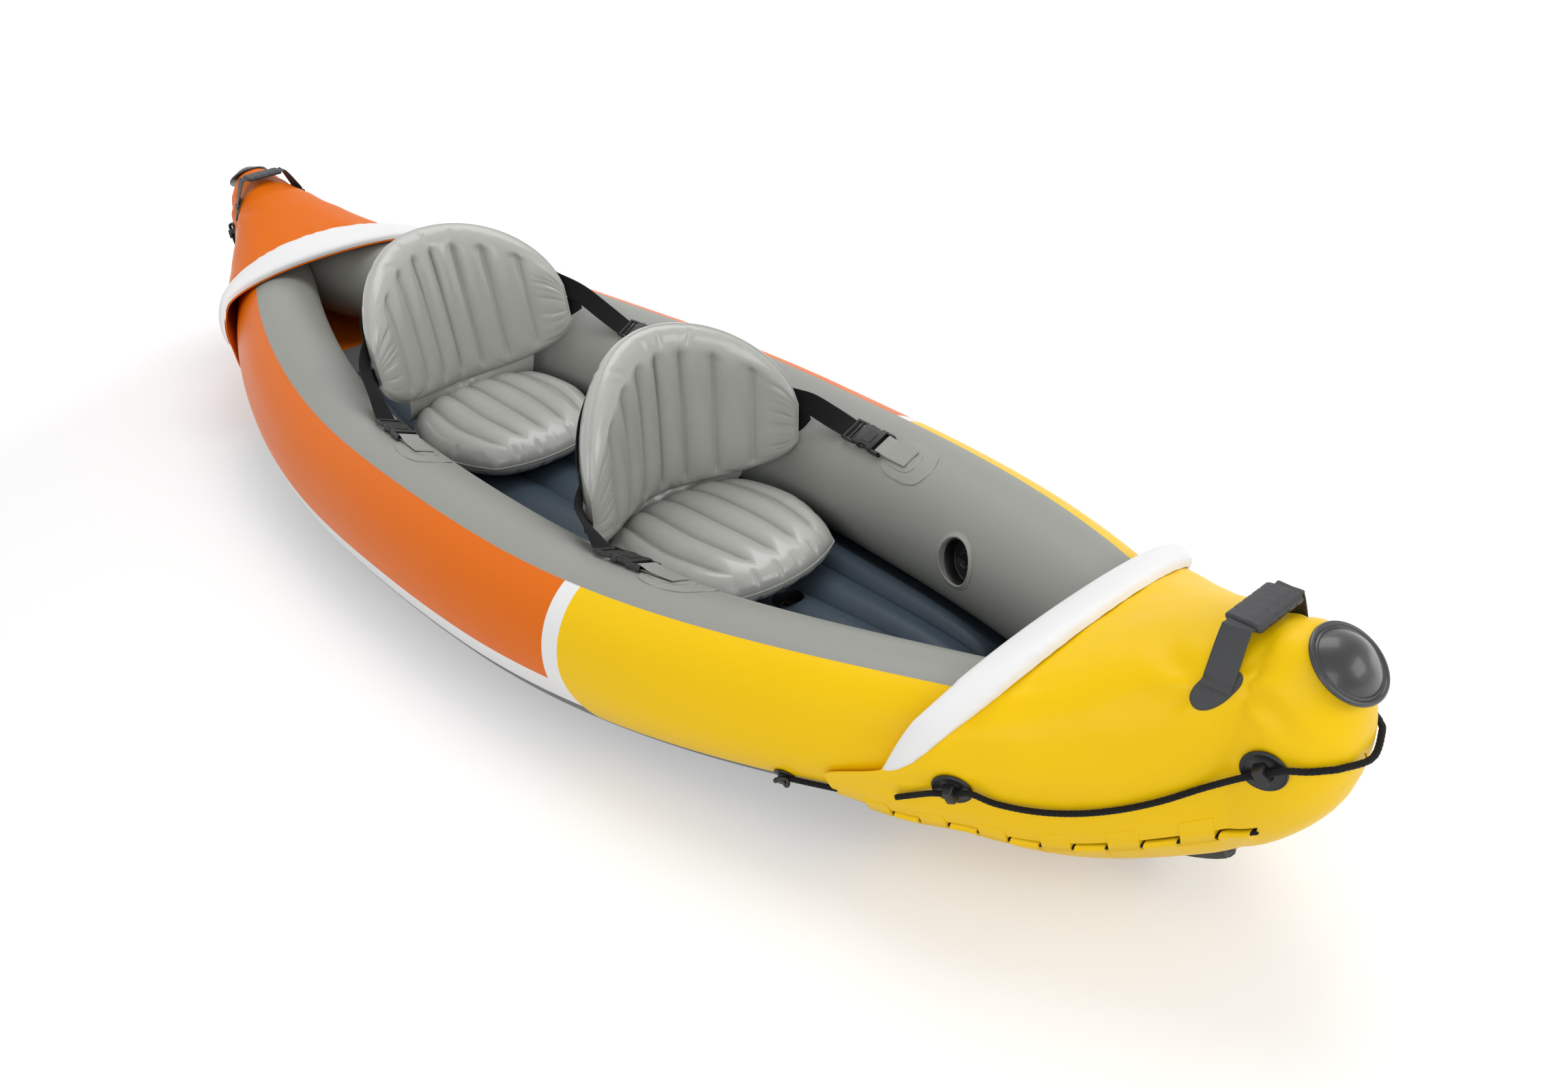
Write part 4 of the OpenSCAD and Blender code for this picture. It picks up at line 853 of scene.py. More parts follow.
def hullUv(piece):  # angle and station at every corner
    mesh = piece.data
    co = np.zeros(len(mesh.vertices) * 3)
    mesh.vertices.foreach_get("co", co)
    co = co.reshape(-1, 3) * 1000
    x, y, z = co[:, 0], np.abs(co[:, 1]), co[:, 2]
    r = np.maximum(rounding(x, hull["tubeTip"]), 1e-3)
    angle = np.degrees(np.arctan2((y - tubeY(x)) / (girth(x) * r), (z - tubeZ(x)) / (tall(x) * r)))
    loops = np.zeros(len(mesh.loops), int)
    mesh.loops.foreach_get("vertex_index", loops)
    corner = angle[loops]
    first = np.repeat([p.loop_start for p in mesh.polygons], [p.loop_total for p in mesh.polygons])
    corner = corner + 360 * np.round((corner[first] - corner) / 360)
    layer = mesh.uv_layers.get("wrapUv") or mesh.uv_layers.new(name="wrapUv")
    layer.data.foreach_set("uv", np.stack([corner / 100, x[loops] / 1000], -1).astype(np.float32).ravel())


def makeTubes():
    t = np.linspace(-1, 1, tubes["steps"] + 1)
    x = hull["tubeTip"] * np.sin(np.radians(88.5 * t))
    a = np.linspace(0, 360, tubes["sides"] + 1)
    grid = tubePoint(x[:, None], a[None, :])
    grid[..., 1] = np.maximum(hull["gap"] / 2, grid[..., 1])
    grid[:, -1] = grid[:, 0]
    spot, axes = tubePoint(tubes["valveX"], tubes["valveA"]), tubeFrame(tubes["valveX"], tubes["valveA"])
    for side, flip in flanks:
        tube = makePiece(side + "Tube", [scaled(gridPart(grid, caps=True), y=flip)], finishes["hull"])
        cutPocket(tube, tubes, spot, axes, 72, flip)
        hullUv(tube)
        tube.data.set_sharp_from_angle(angle=math.radians(40))
        mount(tube, "hull", "pvc_grey", side + "_tube")


makeTubes()
print("side tubes made")

# deck covers: soft puckers round the handle patches and the coaming
deckLook = {"rows": 120, "cells": 168, "waves": 1.5, "handleX": 1370, "handleW": 0.45, "pucker": 2.2}


def deckShape(x, w, shift):
    p = coverPoint(x, w)
    ahead, side, out = coverFrame(x, np.clip(w, -0.985, 0.985))
    inner = np.clip((x - coverEdge(w, shift)) / 60, 0, 1) * np.clip((hull["halfLength"] - x) / 60, 0, 1)
    inner = inner * np.clip((1 - np.abs(w)) / 0.12, 0, 1)
    push = deckLook["waves"] * (ripples(p, 0.011, 3.1 + shift) + 0.5 * ripples(p, 0.027, 8.7 + shift))
    for flip in (-1, 1):
        hub = coverPoint(deckLook["handleX"], flip * deckLook["handleW"])
        gap = p - hub
        d = np.linalg.norm(gap, axis=-1)
        turn = np.arctan2((gap * side).sum(-1), (gap * ahead).sum(-1))
        rays = np.sin(5 * turn + 1.3 * np.sin(2 * turn + shift)) + 0.5 * np.sin(9 * turn + 1.0)
        push = push + deckLook["pucker"] * rays * ease((d - 20) / 25) * np.exp(-(((d - 45) / 42) ** 2))
    tuck = np.sin(w * 46 + np.sin(w * 17)) * np.exp(-(((x - coverEdge(w, shift) - 85) / 26) ** 2))
    push = push + 0.8 * tuck
    return p + (push * inner)[..., None] * out


def closedTip(grid, depth):  # a last row that shuts the film at the nose
    tip = (hull["halfLength"] - depth, 0, float(tubeZ(np.float64(hull["halfLength"]))))
    return np.concatenate([grid, np.broadcast_to(tip, grid[:1].shape)])


def makeDecks():
    for end, sign in ends:
        shift = edgeShift[sign]
        w = np.linspace(-1, 1, deckLook["cells"] + 1)[None, :]
        t = np.sin(np.radians(90 * np.linspace(0, 1, deckLook["rows"] + 1)))[:, None]
        x = mix(coverEdge(w, shift), hull["halfLength"], t)
        face = deckShape(x, w + 0 * t, shift)
        back = coverPoint(x, w + 0 * t, -hull["skin"]) + (face - coverPoint(x, w + 0 * t))
        uv = np.stack([x / 1000, w + 0 * t], -1)
        face, back, uv = closedTip(face, 0), closedTip(back, hull["skin"]), np.concatenate([uv, uv[-1:]])
        deck = scaled(pillowPart(face, back, uv), x=sign)
        put(end + "Deck", [deck], endTone[sign], 60, "hull", "pvc_" + endTone[sign], end + "_deck")


coaming = {"width": 68, "height": 17, "gap": 1.5, "steps": 190, "cells": 22, "pinch": 1.1}


def makeCoamings():
    for end, sign in ends:
        shift = edgeShift[sign]
        s = np.sin(np.radians(90 * np.linspace(-1, 1, coaming["steps"])))
        w = cover["lobeW"] * 0.995 * s
        half = coaming["width"] / 2 * np.sqrt(np.maximum(0.004, 1 - (w / cover["lobeW"]) ** 2))
        high = coaming["height"] * np.sqrt(np.maximum(0.004, 1 - (w / cover["lobeW"]) ** 4))
        x = coverEdge(w, shift) + half + 1
        out = coverFrame(x, w)[2]
        f = np.radians(np.linspace(0, 180, coaming["cells"]))
        wave = coaming["pinch"] * np.sin(w * 95 + 2 * np.sin(w * 31))
        fold = wave[:, None] * np.exp(-((f[None, :] - 0.35) / 0.3) ** 2)
        crown = coverPoint(x[:, None] + half[:, None] * np.cos(f), w[:, None] + 0 * f)
        stand = coaming["gap"] + high[:, None] * np.sin(f) ** 0.5 + fold * np.minimum(1, high / 12)[:, None]
        crown = crown + out[:, None] * stand[..., None]
        k = np.linspace(-1, 1, 8)[1:-1]
        base = coverPoint(x[:, None] + half[:, None] * k, w[:, None] + 0 * k) + out[:, None] * coaming["gap"]
        grid = np.concatenate([crown, base, crown[:, :1]], 1)
        roll = makePiece(end + "Coaming", [scaled(gridPart(grid, caps=True), x=sign)], finishes["white"], 70)
        mount(roll, "hull", "pvc_white", end + "_coaming")


keel = {"start": 990, "end": 1502, "tuckX": 1424, "middle": 0.3, "tail": 40, "rows": 60, "cells": 72}


def keelPoint(x, w, off):
    u = np.abs(w)
    tuck = ease((x - keel["tuckX"]) / 14)  # past the lacing the flap goes up under the cover
    high = cover["laceA"] + (1 - 4 * tuck) * sleeveTurn(x)
    off = off - 3.5 * tuck * ease((u - 0.6) / 0.3)
    p = skinPoint(x, mix(180, high, np.maximum(0, u - keel["middle"]) / (1 - keel["middle"])), off)
    p[..., 1] *= np.where(w < 0, -1, 1) * np.minimum(1, u / keel["middle"])
    return p


def makeKeelFlaps():
    for end, sign in ends:
        w = np.linspace(-1, 1, keel["cells"] + 1)[None, :]
        t = np.linspace(0, 1, keel["rows"] + 1)[:, None]
        first = keel["start"] + hull["gap"] - keel["tail"] * ease((np.abs(w) - 0.78) / 0.22)
        x = mix(first, keel["end"], t)
        w = w + 0 * t
        face, back = closedTip(keelPoint(x, w, 0.0), 1), closedTip(keelPoint(x, w, -hull["skin"]), 1 + hull["skin"])
        flap = scaled(pillowPart(face, back), x=sign)
        put(end + "KeelFlap", [flap], endTone[sign], 60, "hull", "pvc_" + endTone[sign], end + "_keel_flap")


# lacing tabs: hems folded round the cord, in turn from the cover and from the keel flap
def tabPart(middle, toDeck):
    x = np.linspace(middle - lacing["sleeve"] / 2, middle + lacing["sleeve"] / 2, 12)
    p = lacePoint(x)
    tip = 1 if toDeck else -1
    turn = np.degrees(lacing["reach"] / (girth(x) + cover["gap"]))
    far = skinPoint(x, cover["laceA"] - tip * turn, 0.7)
    inner = skinPoint(x, cover["laceA"] - tip * turn, -hull["skin"])
    out = unit(skinPoint(x, cover["laceA"], 1.0) - skinPoint(x, cover["laceA"], 0.0))
    down = unit(p - far)
    down = unit(down - out * (down * out).sum(-1, keepdims=True))
    f = np.radians(np.linspace(80, -80, 11))
    turned = np.cos(f)[None, :, None] * down[:, None] + np.sin(f)[None, :, None] * out[:, None]
    curl = p[:, None] + lacing["hem"] * turned
    bend = mix(far, curl[:, 0], 0.5) + 0.4 * out
    grid = np.concatenate([far[:, None], bend[:, None], curl, inner[:, None], far[:, None]], 1)
    return gridPart(grid, caps=True)


def makeLacingTabs():
    pitch = (lacing["end"] - lacing["start"] - 2 * lacing["gap"]) / lacing["count"]
    for end, sign in ends:
        for owner, parity in (("deck", 0), ("keel", 1)):
            parts = []
            for k in range(parity, lacing["count"], 2):
                parts += bothSides(tabPart(lacing["start"] + lacing["gap"] + pitch * (k + 0.5), parity == 0))
            put(end + owner.title() + "Tabs", [scaled(p, x=sign) for p in parts], endTone[sign], 50,
                "hull", "pvc_" + endTone[sign], end + "_" + owner + "_tabs")


makeDecks()
makeCoamings()
makeKeelFlaps()
makeLacingTabs()
print("covers, coamings, keel flaps and tabs made")

# floor: inflated channels between the tubes
floorPad = {
    "halfLength": 900, "thick": 62, "channels": 5, "rows": 150, "cells": 150,
    "valveX": 545, "valveD": 52, "valveDepth": 26,
}


def floorZ(x):
    return hull["skin"] + hull["gap"] + bottomZ(x)


def channel(v, count, sharp=0.7):
    return np.abs(np.sin(np.radians(90 * count * (v + 1)))) ** sharp


def floorHigh(x, v):
    end = np.sqrt(np.maximum(0, 1 - (np.abs(x) / floorPad["halfLength"]) ** 12))
    side = mix(1, 0.3, ease((np.abs(v) - 0.86) / 0.14))
    dip = 0.24 * (1 - channel(v, floorPad["channels"], 0.8)) * ease((1 - np.abs(v)) * 8)
    return mix(14, floorPad["thick"], end) * side * (1 - dip)


def floorHalfWidth(x, z):
    return tubeY(x) - 6 - np.sqrt(np.maximum(0, girth(x) ** 2 - (tubeZ(x) - z) ** 2))


def makeFloor():
    x = floorPad["halfLength"] * np.sin(np.radians(90 * np.linspace(-1, 1, floorPad["rows"] + 1)))[:, None]
    v = np.linspace(-1, 1, floorPad["cells"] + 1)[None, :]
    z = floorZ(x) + floorHigh(x, v)
    face = np.stack([x + 0 * v, v * floorHalfWidth(x, z), z], -1)
    low = floorZ(x) + 0.5 * floorHigh(x, np.ones_like(v))
    back = np.stack([x + 0 * v, v * floorHalfWidth(x, low), floorZ(x) + 0 * v], -1)
    pad = makePiece("airFloor", [pillowPart(face, back)], finishes["floor"], 60)
    cutPocket(pad, floorPad, floorValvePlace(), np.eye(3), 64)
    mount(pad, "hull", "floor_vinyl", "floor")


def floorTop(x):
    return float(floorZ(np.float64(x))) + floorPad["thick"]


def floorValvePlace():
    return np.array([floorPad["valveX"], 0, floorTop(floorPad["valveX"]) - 4])


def makeBottomSkin():
    reach = keel["start"] + 60
    x = np.linspace(-reach, reach, 141)[:, None]
    v = np.linspace(-1, 1, 25)[None, :]
    face = np.stack([x + 0 * v, v * tubeY(x), bottomZ(x) + hull["skin"] + 0 * v], -1)
    skin = makePiece("bottomSkin", [pillowPart(face, face - (0, 0, hull["skin"]))], finishes["bottom"], 50)
    mount(skin, "hull", "bottom_vinyl", "bottom_skin")


makeFloor()
makeBottomSkin()
print("floor and bottom skin made")

# rows of stitches or beads along lines, by geometry nodes
beadPlan = {
    "sockets": {
        "Geometry": "NodeSocketGeometry", "pitch": "NodeSocketFloat", "length": "NodeSocketFloat",
        "width": "NodeSocketFloat", "height": "NodeSocketFloat", "finish": "NodeSocketMaterial",
    },
    "nodes": {
        "start": "NodeGroupInput", "end": "NodeGroupOutput", "curve": "GeometryNodeMeshToCurve",
        "spaced": "GeometryNodeResampleCurve", "tangent": "GeometryNodeInputTangent",
        "turn": "FunctionNodeAlignRotationToVector", "bead": "GeometryNodeMeshUVSphere", "size": "ShaderNodeCombineXYZ",
        "spread": "GeometryNodeInstanceOnPoints", "solid": "GeometryNodeRealizeInstances",
        "dress": "GeometryNodeSetMaterial",
    },
    "links": (
        ("start", "Geometry", "curve", "Mesh"), ("curve", "Curve", "spaced", "Curve"),
        ("start", "pitch", "spaced", "Length"), ("spaced", "Curve", "spread", "Points"),
        ("bead", "Mesh", "spread", "Instance"), ("tangent", "Tangent", "turn", "Vector"),
        ("turn", "Rotation", "spread", "Rotation"), ("start", "length", "size", "X"), ("start", "width", "size", "Y"),
        ("start", "height", "size", "Z"), ("size", "Vector", "spread", "Scale"),
        ("spread", "Instances", "solid", "Geometry"), ("solid", "Geometry", "dress", "Geometry"),
        ("start", "finish", "dress", "Material"), ("dress", "Geometry", "end", "Geometry"),
    ),
    "ball": {"Segments": 8, "Rings": 5, "Radius": 0.5},
}


def beadTree():
    tree = bpy.data.node_groups.new("beadRow", "GeometryNodeTree")
    sockets = {}
    for name, kind in beadPlan["sockets"].items():
        sockets[name] = tree.interface.new_socket(name, in_out="INPUT", socket_type=kind).identifier
    tree.interface.new_socket("Geometry", in_out="OUTPUT", socket_type="NodeSocketGeometry")
    nodes = {key: tree.nodes.new(kind) for key, kind in beadPlan["nodes"].items()}
    nodes["spaced"].mode = "LENGTH"
    nodes["turn"].axis = "X"
    for key, value in beadPlan["ball"].items():
        nodes["bead"].inputs[key].default_value = value
    for source, gives, target, takes in beadPlan["links"]:
        tree.links.new(nodes[source].outputs[gives], nodes[target].inputs[takes])
    return tree, sockets


beads, beadSockets = beadTree()


def beadRow(name, lines, look, finish):  # lines in mm, look in mm
    points, edges = [], []
    for line in lines:
        start = len(points)
        points += (np.asarray(line) / 1000).tolist()
        edges += [(start + k, start + k + 1) for k in range(len(line) - 1)]
    mesh = bpy.data.meshes.new(name)
    mesh.from_pydata(points, edges, [])
    piece = bpy.data.objects.new(name, mesh)
    scene.collection.objects.link(piece)
    row = piece.modifiers.new("beads", "NODES")
    row.node_group = beads
    for key, value in look.items():
        row[beadSockets[key]] = value / 1000
    row[beadSockets["finish"]] = finish
    settle(piece)
    piece.data.shade_smooth()
    return piece


# nose caps: a dome in two rings, with a soft dent
noseCap = {
    "height": 24, "ball": 50.0, "dent": 2.6, "dentAt": (14, 17), "dentSpread": 13,
    "rings": [(0, 0), (48.4, 0), (49, 0.8), (49, 2.6), (48.3, 3.9), (47, 4.8), (45.6, 5), (44.3, 4.6),
              (43.4, 3.6), (42.9, 3.3), (42.3, 3.6), (41.6, 4.6), (40.8, 5.1), (40.2, 4.9)],
}


def makeNoseCaps():
    ball = noseCap["ball"]
    dome = [(r, noseCap["height"] - ball + math.sqrt(ball**2 - r**2)) for r in np.linspace(39.6, 0, 40)]
    points, faces, uv = lathePart(noseCap["rings"] + dome, 96)
    x, y = points[:, 0] - noseCap["dentAt"][0], points[:, 1] - noseCap["dentAt"][1]
    push = noseCap["dent"] * np.exp(-(x**2 + 0.5 * y**2) / noseCap["dentSpread"] ** 2)
    points[:, 2] -= push * np.clip((points[:, 2] - 5.5) / 5, 0, 1)
    across = np.array([0, 1.0, 0])
    cap = placed((points, faces, uv), capMiddle + hull["gap"] * capOut, np.cross(across, capOut), across, capOut)
    for end, sign in ends:
        put(end + "NoseCap", [scaled(cap, x=sign)], "cap", 60, "hull", "nose_cap", end + "_nose_cap")


# carrying handles: bonded round feet, a strap and a wrapped grip
handle = {"back": 135, "w": 0.45, "foot": [0.005, -0.02, -0.05], "lift": 5.7, "patchD": 44, "width": 34, "thick": 3,
          "gripHalfW": 23, "gripHalfT": 6, "fingers": 10}


def softSquare(count, k):
    g = np.sin(np.radians(90 * np.linspace(-1, 1, count)))
    u, v = np.meshgrid(g, g, indexing="ij")
    return u * np.sqrt(1 - k * v * v), v * np.sqrt(1 - k * u * u)


def spreadAlong(values, points, line):  # values given at points, spread along the line through them
    run = runAlong(points)
    at = np.linspace(0, run[-1], len(line))
    return unit(np.stack([np.interp(at, run, np.asarray(values)[:, k]) for k in range(3)], -1))


def gripPart(x, z):
    y = np.concatenate([[-42, -41.6, -40.5], np.linspace(-39, 39, 75), [40.5, 41.6, 42]])
    end = np.sqrt(np.clip(1 - (np.clip(np.abs(y) - 38, 0, None) / 4.4) ** 2, 0.05, 1))
    groove = sum(np.exp(-(((y - c) / 1.3) ** 2)) for c in (-26, -9, 9, 26))
    f = np.linspace(0, 2 * np.pi, 57)
    u = np.sign(np.cos(f)) * np.abs(np.cos(f)) ** 0.55
    v = np.sign(np.sin(f)) * np.abs(np.sin(f)) ** 0.7
    fold = 0.9 * np.exp(-(((u - 0.28) / 0.05) ** 2)) * (v > 0)
    wide = (handle["gripHalfW"] - 1.0 * groove)[:, None] * end[:, None] ** 0.35 * u
    deep = (handle["gripHalfT"] - 0.9 * groove)[:, None] * end[:, None] * v + fold * end[:, None]
    grid = np.stack([x + wide, y[:, None] + 0 * u, z + deep], -1)
    grid[:, -1] = grid[:, 0]
    return gridPart(grid, np.stack([wide, y[:, None] + 0 * u], -1) / 1000, caps=True)


def makeHandles():
    x = hull["halfLength"] - handle["back"]
    gripZ = float(ridge(np.float64(x))) + handle["fingers"] + handle["gripHalfT"]
    feet = [coverPoint(x, handle["w"] + f) + handle["lift"] * coverFrame(x, handle["w"] + f)[2] for f in handle["foot"]]
    turns = [coverFrame(x, handle["w"] + f)[0] for f in handle["foot"]]
    half = np.array(feet + [(x, 54, gripZ - 3), (x, 42, gripZ)])
    across = np.array(turns + [unit(mix(turns[-1], np.array([1.0, 0, 0]), 0.7)), (1, 0, 0)])
    points = np.concatenate([half, half[::-1] * (1, -1, 1)])
    sideways = np.concatenate([across, across[::-1] * (1, -1, 1)])
    line = smoothPath(points, 110)
    strap = bandPart(line, spreadAlong(sideways, points, line), handle["width"], handle["thick"])
    arc = np.linalg.norm(coverPoint(x, handle["w"] + 0.05) - coverPoint(x, handle["w"] - 0.05)) / 0.1
    u, v = softSquare(25, 0.5)
    spots = (x + handle["patchD"] / 2 * u, handle["w"] + handle["patchD"] / 2 / arc * v)
    out = coverFrame(*spots)[2]
    edge = 1 - np.clip((np.hypot(u, v) - 0.93) / 0.07, 0, 1) ** 2
    flat = coverPoint(*spots)
    patch = pillowPart(flat + out * (1.2 + 2.0 * edge)[..., None], flat + out * 0.9, np.stack([u, v], -1) * 0.022)
    for end, sign in ends:
        pieces = (("Patches", bothSides(patch), "handle", "handle_vinyl"), ("Strap", [strap], "handle", "handle_vinyl"),
                  ("Grip", [gripPart(x, gripZ)], "grip", "handle_rubber"))
        for kind, parts, look, slot in pieces:
            put(end + "Handle" + kind, [scaled(p, x=sign) for p in parts], look, 50, "hull", slot,
                end + "_handle_" + kind.lower())


# rope holders: knurled discs with a bridge, and the ties aft of the covers
holder = {
    "disc": [(0, 0), (25.2, 0), (26, 0.8), (26, 2.4), (25.2, 3.4), (23.4, 3.9), (22.2, 3.6), (21, 2.9), (14, 2.9),
             (12, 3.6), (0, 3.6)],
    "tieBase": [(0, 0), (15, 0), (15.6, 0.8), (15, 1.8), (9, 2.6), (0, 2.6)],
    "knurlR": 24.2, "knurl": {"pitch": 2.6, "length": 1.5, "width": 2.6, "height": 1.6},
}


def makeRopeHolders():
    disc = lathePart(holder["disc"], 72)
    block = platePart(roundedBox(16, 24, 3), 3, 17, 1.6, 3)
    rise = np.clip((block[0][:, 2] - 3) / 14, 0, 1)
    block[0][:, 0] *= 1 - 0.28 * rise
    block[0][:, 1] *= 1 - 0.16 * rise
    turn = math.radians(grabLine["turn"])
    spin = [(math.cos(turn), math.sin(turn), 0), (-math.sin(turn), math.cos(turn), 0), (0, 0, 1)]
    block = placed(block, (0, 0, 0), *spin)
    ringA = np.linspace(0, 2 * np.pi, 97)
    ring = np.stack([holder["knurlR"] * np.cos(ringA), holder["knurlR"] * np.sin(ringA), 3.5 + 0 * ringA], -1)
    tie = platePart(roundedBox(16, 18, 4), 0, grabLine["tieH"], 2.5, 3)
    base = lathePart(holder["tieBase"], 48)
    knotA = np.linspace(0, 2 * np.pi, 60)
    knot = np.stack([9 * np.cos(knotA), 7.5 * np.sin(knotA), 10 + 3 * np.sin(2 * knotA)], -1)
    tieX = hull["halfLength"] - grabLine["tieBack"]
    for end, sign in ends:
        parts, rings, ties = [], [], []
        for place in grabLine["holders"]:
            middle, (ex, ey, ez) = holderFrame(place)
            for part in (disc, block):
                parts += bothSides(placed(part, middle + hull["gap"] * ez, ex, ey, ez))
            circle = middle + hull["gap"] * ez + ring @ np.array([ex, ey, ez])
            rings += [circle * (sign, 1, 1), circle * (sign, -1, 1)]
        axes = tubeFrame(tieX, grabLine["tieA"])
        for part in (scaled(tie, 0.8, 0.8, 0.85), base, cordPart(knot, 3.4, 12, 0.1, 9.0, 3)):
            ties += bothSides(placed(part, tubePoint(tieX, grabLine["tieA"], 1.0), *axes))
        piece = makePiece(end + "RopeHolders", [scaled(p, x=sign) for p in parts], finishes["black"], 40)
        mount(piece, "hull", "black_plastic", end + "_rope_holders")
        knurl = beadRow(end + "HolderKnurls", rings, holder["knurl"], finishes["black"])
        mount(knurl, "hull", "black_plastic")
        put(end + "LineTies", [scaled(p, x=sign) for p in ties], "black", 40, "hull", "black_plastic",
            end + "_line_ties")


makeNoseCaps()
makeHandles()
makeRopeHolders()
print("nose caps, handles and rope holders made")

# valves: cups in the tubes and the floor, each with a push-in plug
valve = {
    "collarIn": 37.3,
    "collar": [(0, 0.2), (0, 1.6), (0.8, 2.6), (2, 3.0), (3.2, 2.6), (4.2, 1.5), (6, 1.0), (8.6, 0.8), (9, 0.2)],
}


def cupPart(radius, depth, rim):
    low = -depth + 0.3
    r = radius - 0.3
    profile = [(12.5, low), (r, low), (r, rim - 1), (r - 0.6, rim), (r - 2.2, rim), (r - 3, rim - 1),
               (r - 3.2, low + 5), (r - 4.4, low + 4), (r - 9, low + 4), (r - 9.8, low + 5.2), (r - 12.5, low + 5.2),
               (r - 13.2, low + 4), (12.5, low + 4), (12.5, low)]
    return lathePart(profile, 72)


def plugParts(depth):
    low = -depth + 4.6
    profile = [(0, low - 3.5), (11.4, low - 3.5), (11.7, low - 3), (11.7, low), (14.4, low), (15, low + 0.6),
               (15, low + 4.8), (14.2, low + 5.8), (12.5, low + 6), (11.5, low + 5.2), (0, low + 5.2)]
    body = lathePart(profile, 56)
    bar = platePart(roundedBox(24, 6, 2.6), low + 5, low + 12, 1.0, 2)
    return [body, bar]


def makeValves():
    spot, axes = tubePoint(tubes["valveX"], tubes["valveA"]), tubeFrame(tubes["valveX"], tubes["valveA"])
    tubeR = float(girth(np.float64(tubes["valveX"])))
    rim = -((tubes["valveD"] / 2) ** 2 / tubeR / 2 + 1)
    f = np.linspace(0, 2 * np.pi, 97)[:, None]
    section = np.array(valve["collar"])
    r = valve["collarIn"] + section[None, :, 0]
    x = tubes["valveX"] + r * np.sin(f)
    a = tubes["valveA"] + np.degrees(r * np.cos(f) / tubeR)
    ring = tubePoint(x, a, 0.2 + section[None, :, 1])
    ring = np.concatenate([ring, ring[:, :1]], 1)
    collars = makePiece("valveCollars", bothSides(gridPart(ring)), finishes["grey"], 60)
    mount(collars, "hull", "pvc_grey", "valve_collars")
    for side, flip in flanks:
        cup = placed(cupPart(tubes["valveD"] / 2, tubes["valveDepth"], rim), spot, *axes)
        put(side + "ValveCup", [scaled(cup, y=flip)], "black", 40, "hull", "black_plastic", side + "_valve_seat")
        plug = [scaled(placed(p, spot, *axes), y=flip) for p in plugParts(tubes["valveDepth"])]
        put(side + "ValvePlug", plug, "black", 40, side + "_valve_cap", "black_plastic", side + "_valve_cap")
    spot = floorValvePlace()
    cup = placed(cupPart(floorPad["valveD"] / 2, floorPad["valveDepth"], 2), spot, *np.eye(3))
    put("floorValveCup", [cup], "black", 40, "hull", "black_plastic", "floor_valve_seat")
    plug = [placed(p, spot, *np.eye(3)) for p in plugParts(floorPad["valveDepth"])]
    put("floorValvePlug", plug, "black", 40, "floor_valve_cap", "black_plastic", "floor_valve_cap")


makeValves()
print("valves made")

# seats: inflated cushions and folding backrests
seat = {
    "fold": {"front": 185, "rear": -515}, "lean": {"front": 7, "rear": -6}, "foldRoom": 10, "foldRise": 30, "weld": 4,
    "length": 366, "width": 350, "crown": 50, "belly": 40, "channels": 6, "taper": 0.13,
    "square": 0.35, "cells": (79, 109), "puckers": 34, "pucker": 0.3, "bead": 1.5, "weldFrom": 0.985,
    "backW": 444, "backH": 330, "wrap": 145, "wrapBend": 1.8, "fan": 2.3, "backCrown": 37, "backBelly": 0.85,
    "backChannels": 8, "backCells": (137, 71), "backPuckers": 40, "backPucker": 0.18, "edge": 0.985, "low": 0.34,
    "stemAt": 0.3,
    "stem": [(0, 0), (18, 0), (18, 0.8), (16, 1.6), (7.5, 2.2), (6.4, 3.4), (6.2, 9.6), (8.6, 10), (9, 10.6), (9, 13.2),
             (8.2, 14), (0, 14)],
}
cloth = {"pressure": 4.0, "frames": 20, "quality": 4, "mass": 0.3, "cushionCap": 5.0, "backCap": 4.0}


def puff(u, v):
    return np.sqrt(np.maximum(0, 1 - np.abs(u) ** 4)) * np.sqrt(np.maximum(0, 1 - np.abs(v) ** 4))


# the film swells between its welds: those points are held, and no point moves further than the cap
def swell(piece, held, cap):
    group = piece.vertex_groups.new(name="welds")
    for k in np.nonzero(held > 0.02)[0]:
        group.add([int(k)], float(min(1, held[k])), "REPLACE")
    before = np.zeros(len(piece.data.vertices) * 3)
    piece.data.vertices.foreach_get("co", before)
    sim = piece.modifiers.new("air", "CLOTH")
    sim.settings.quality = cloth["quality"]
    sim.settings.mass = cloth["mass"]
    sim.settings.use_pressure = True
    sim.settings.uniform_pressure_force = cloth["pressure"]
    sim.settings.effector_weights.gravity = 0
    sim.settings.vertex_group_mass = "welds"
    sim.point_cache.frame_end = cloth["frames"]
    for k in range(1, cloth["frames"] + 1):
        scene.frame_set(k)
    shape = piece.evaluated_get(bpy.context.evaluated_depsgraph_get()).data
    after = np.zeros_like(before)
    shape.vertices.foreach_get("co", after)
    piece.modifiers.remove(sim)
    move = (after - before).reshape(-1, 3)
    far = np.linalg.norm(move, axis=1, keepdims=True)
    move *= np.minimum(1, cap / 1000 / np.maximum(far, 1e-9))
    piece.data.vertices.foreach_set("co", (before.reshape(-1, 3) + move).ravel())
    piece.data.update()
    scene.frame_set(1)


def smoothOut(piece):
    level = piece.modifiers.new("fine", "SUBSURF")
    level.levels = level.render_levels = 1
    settle(piece)
    piece.data.shade_smooth()


def cushionZ(sx):
    return floorTop(sx) + 0.9 + seat["belly"] + seat["weld"] / 2


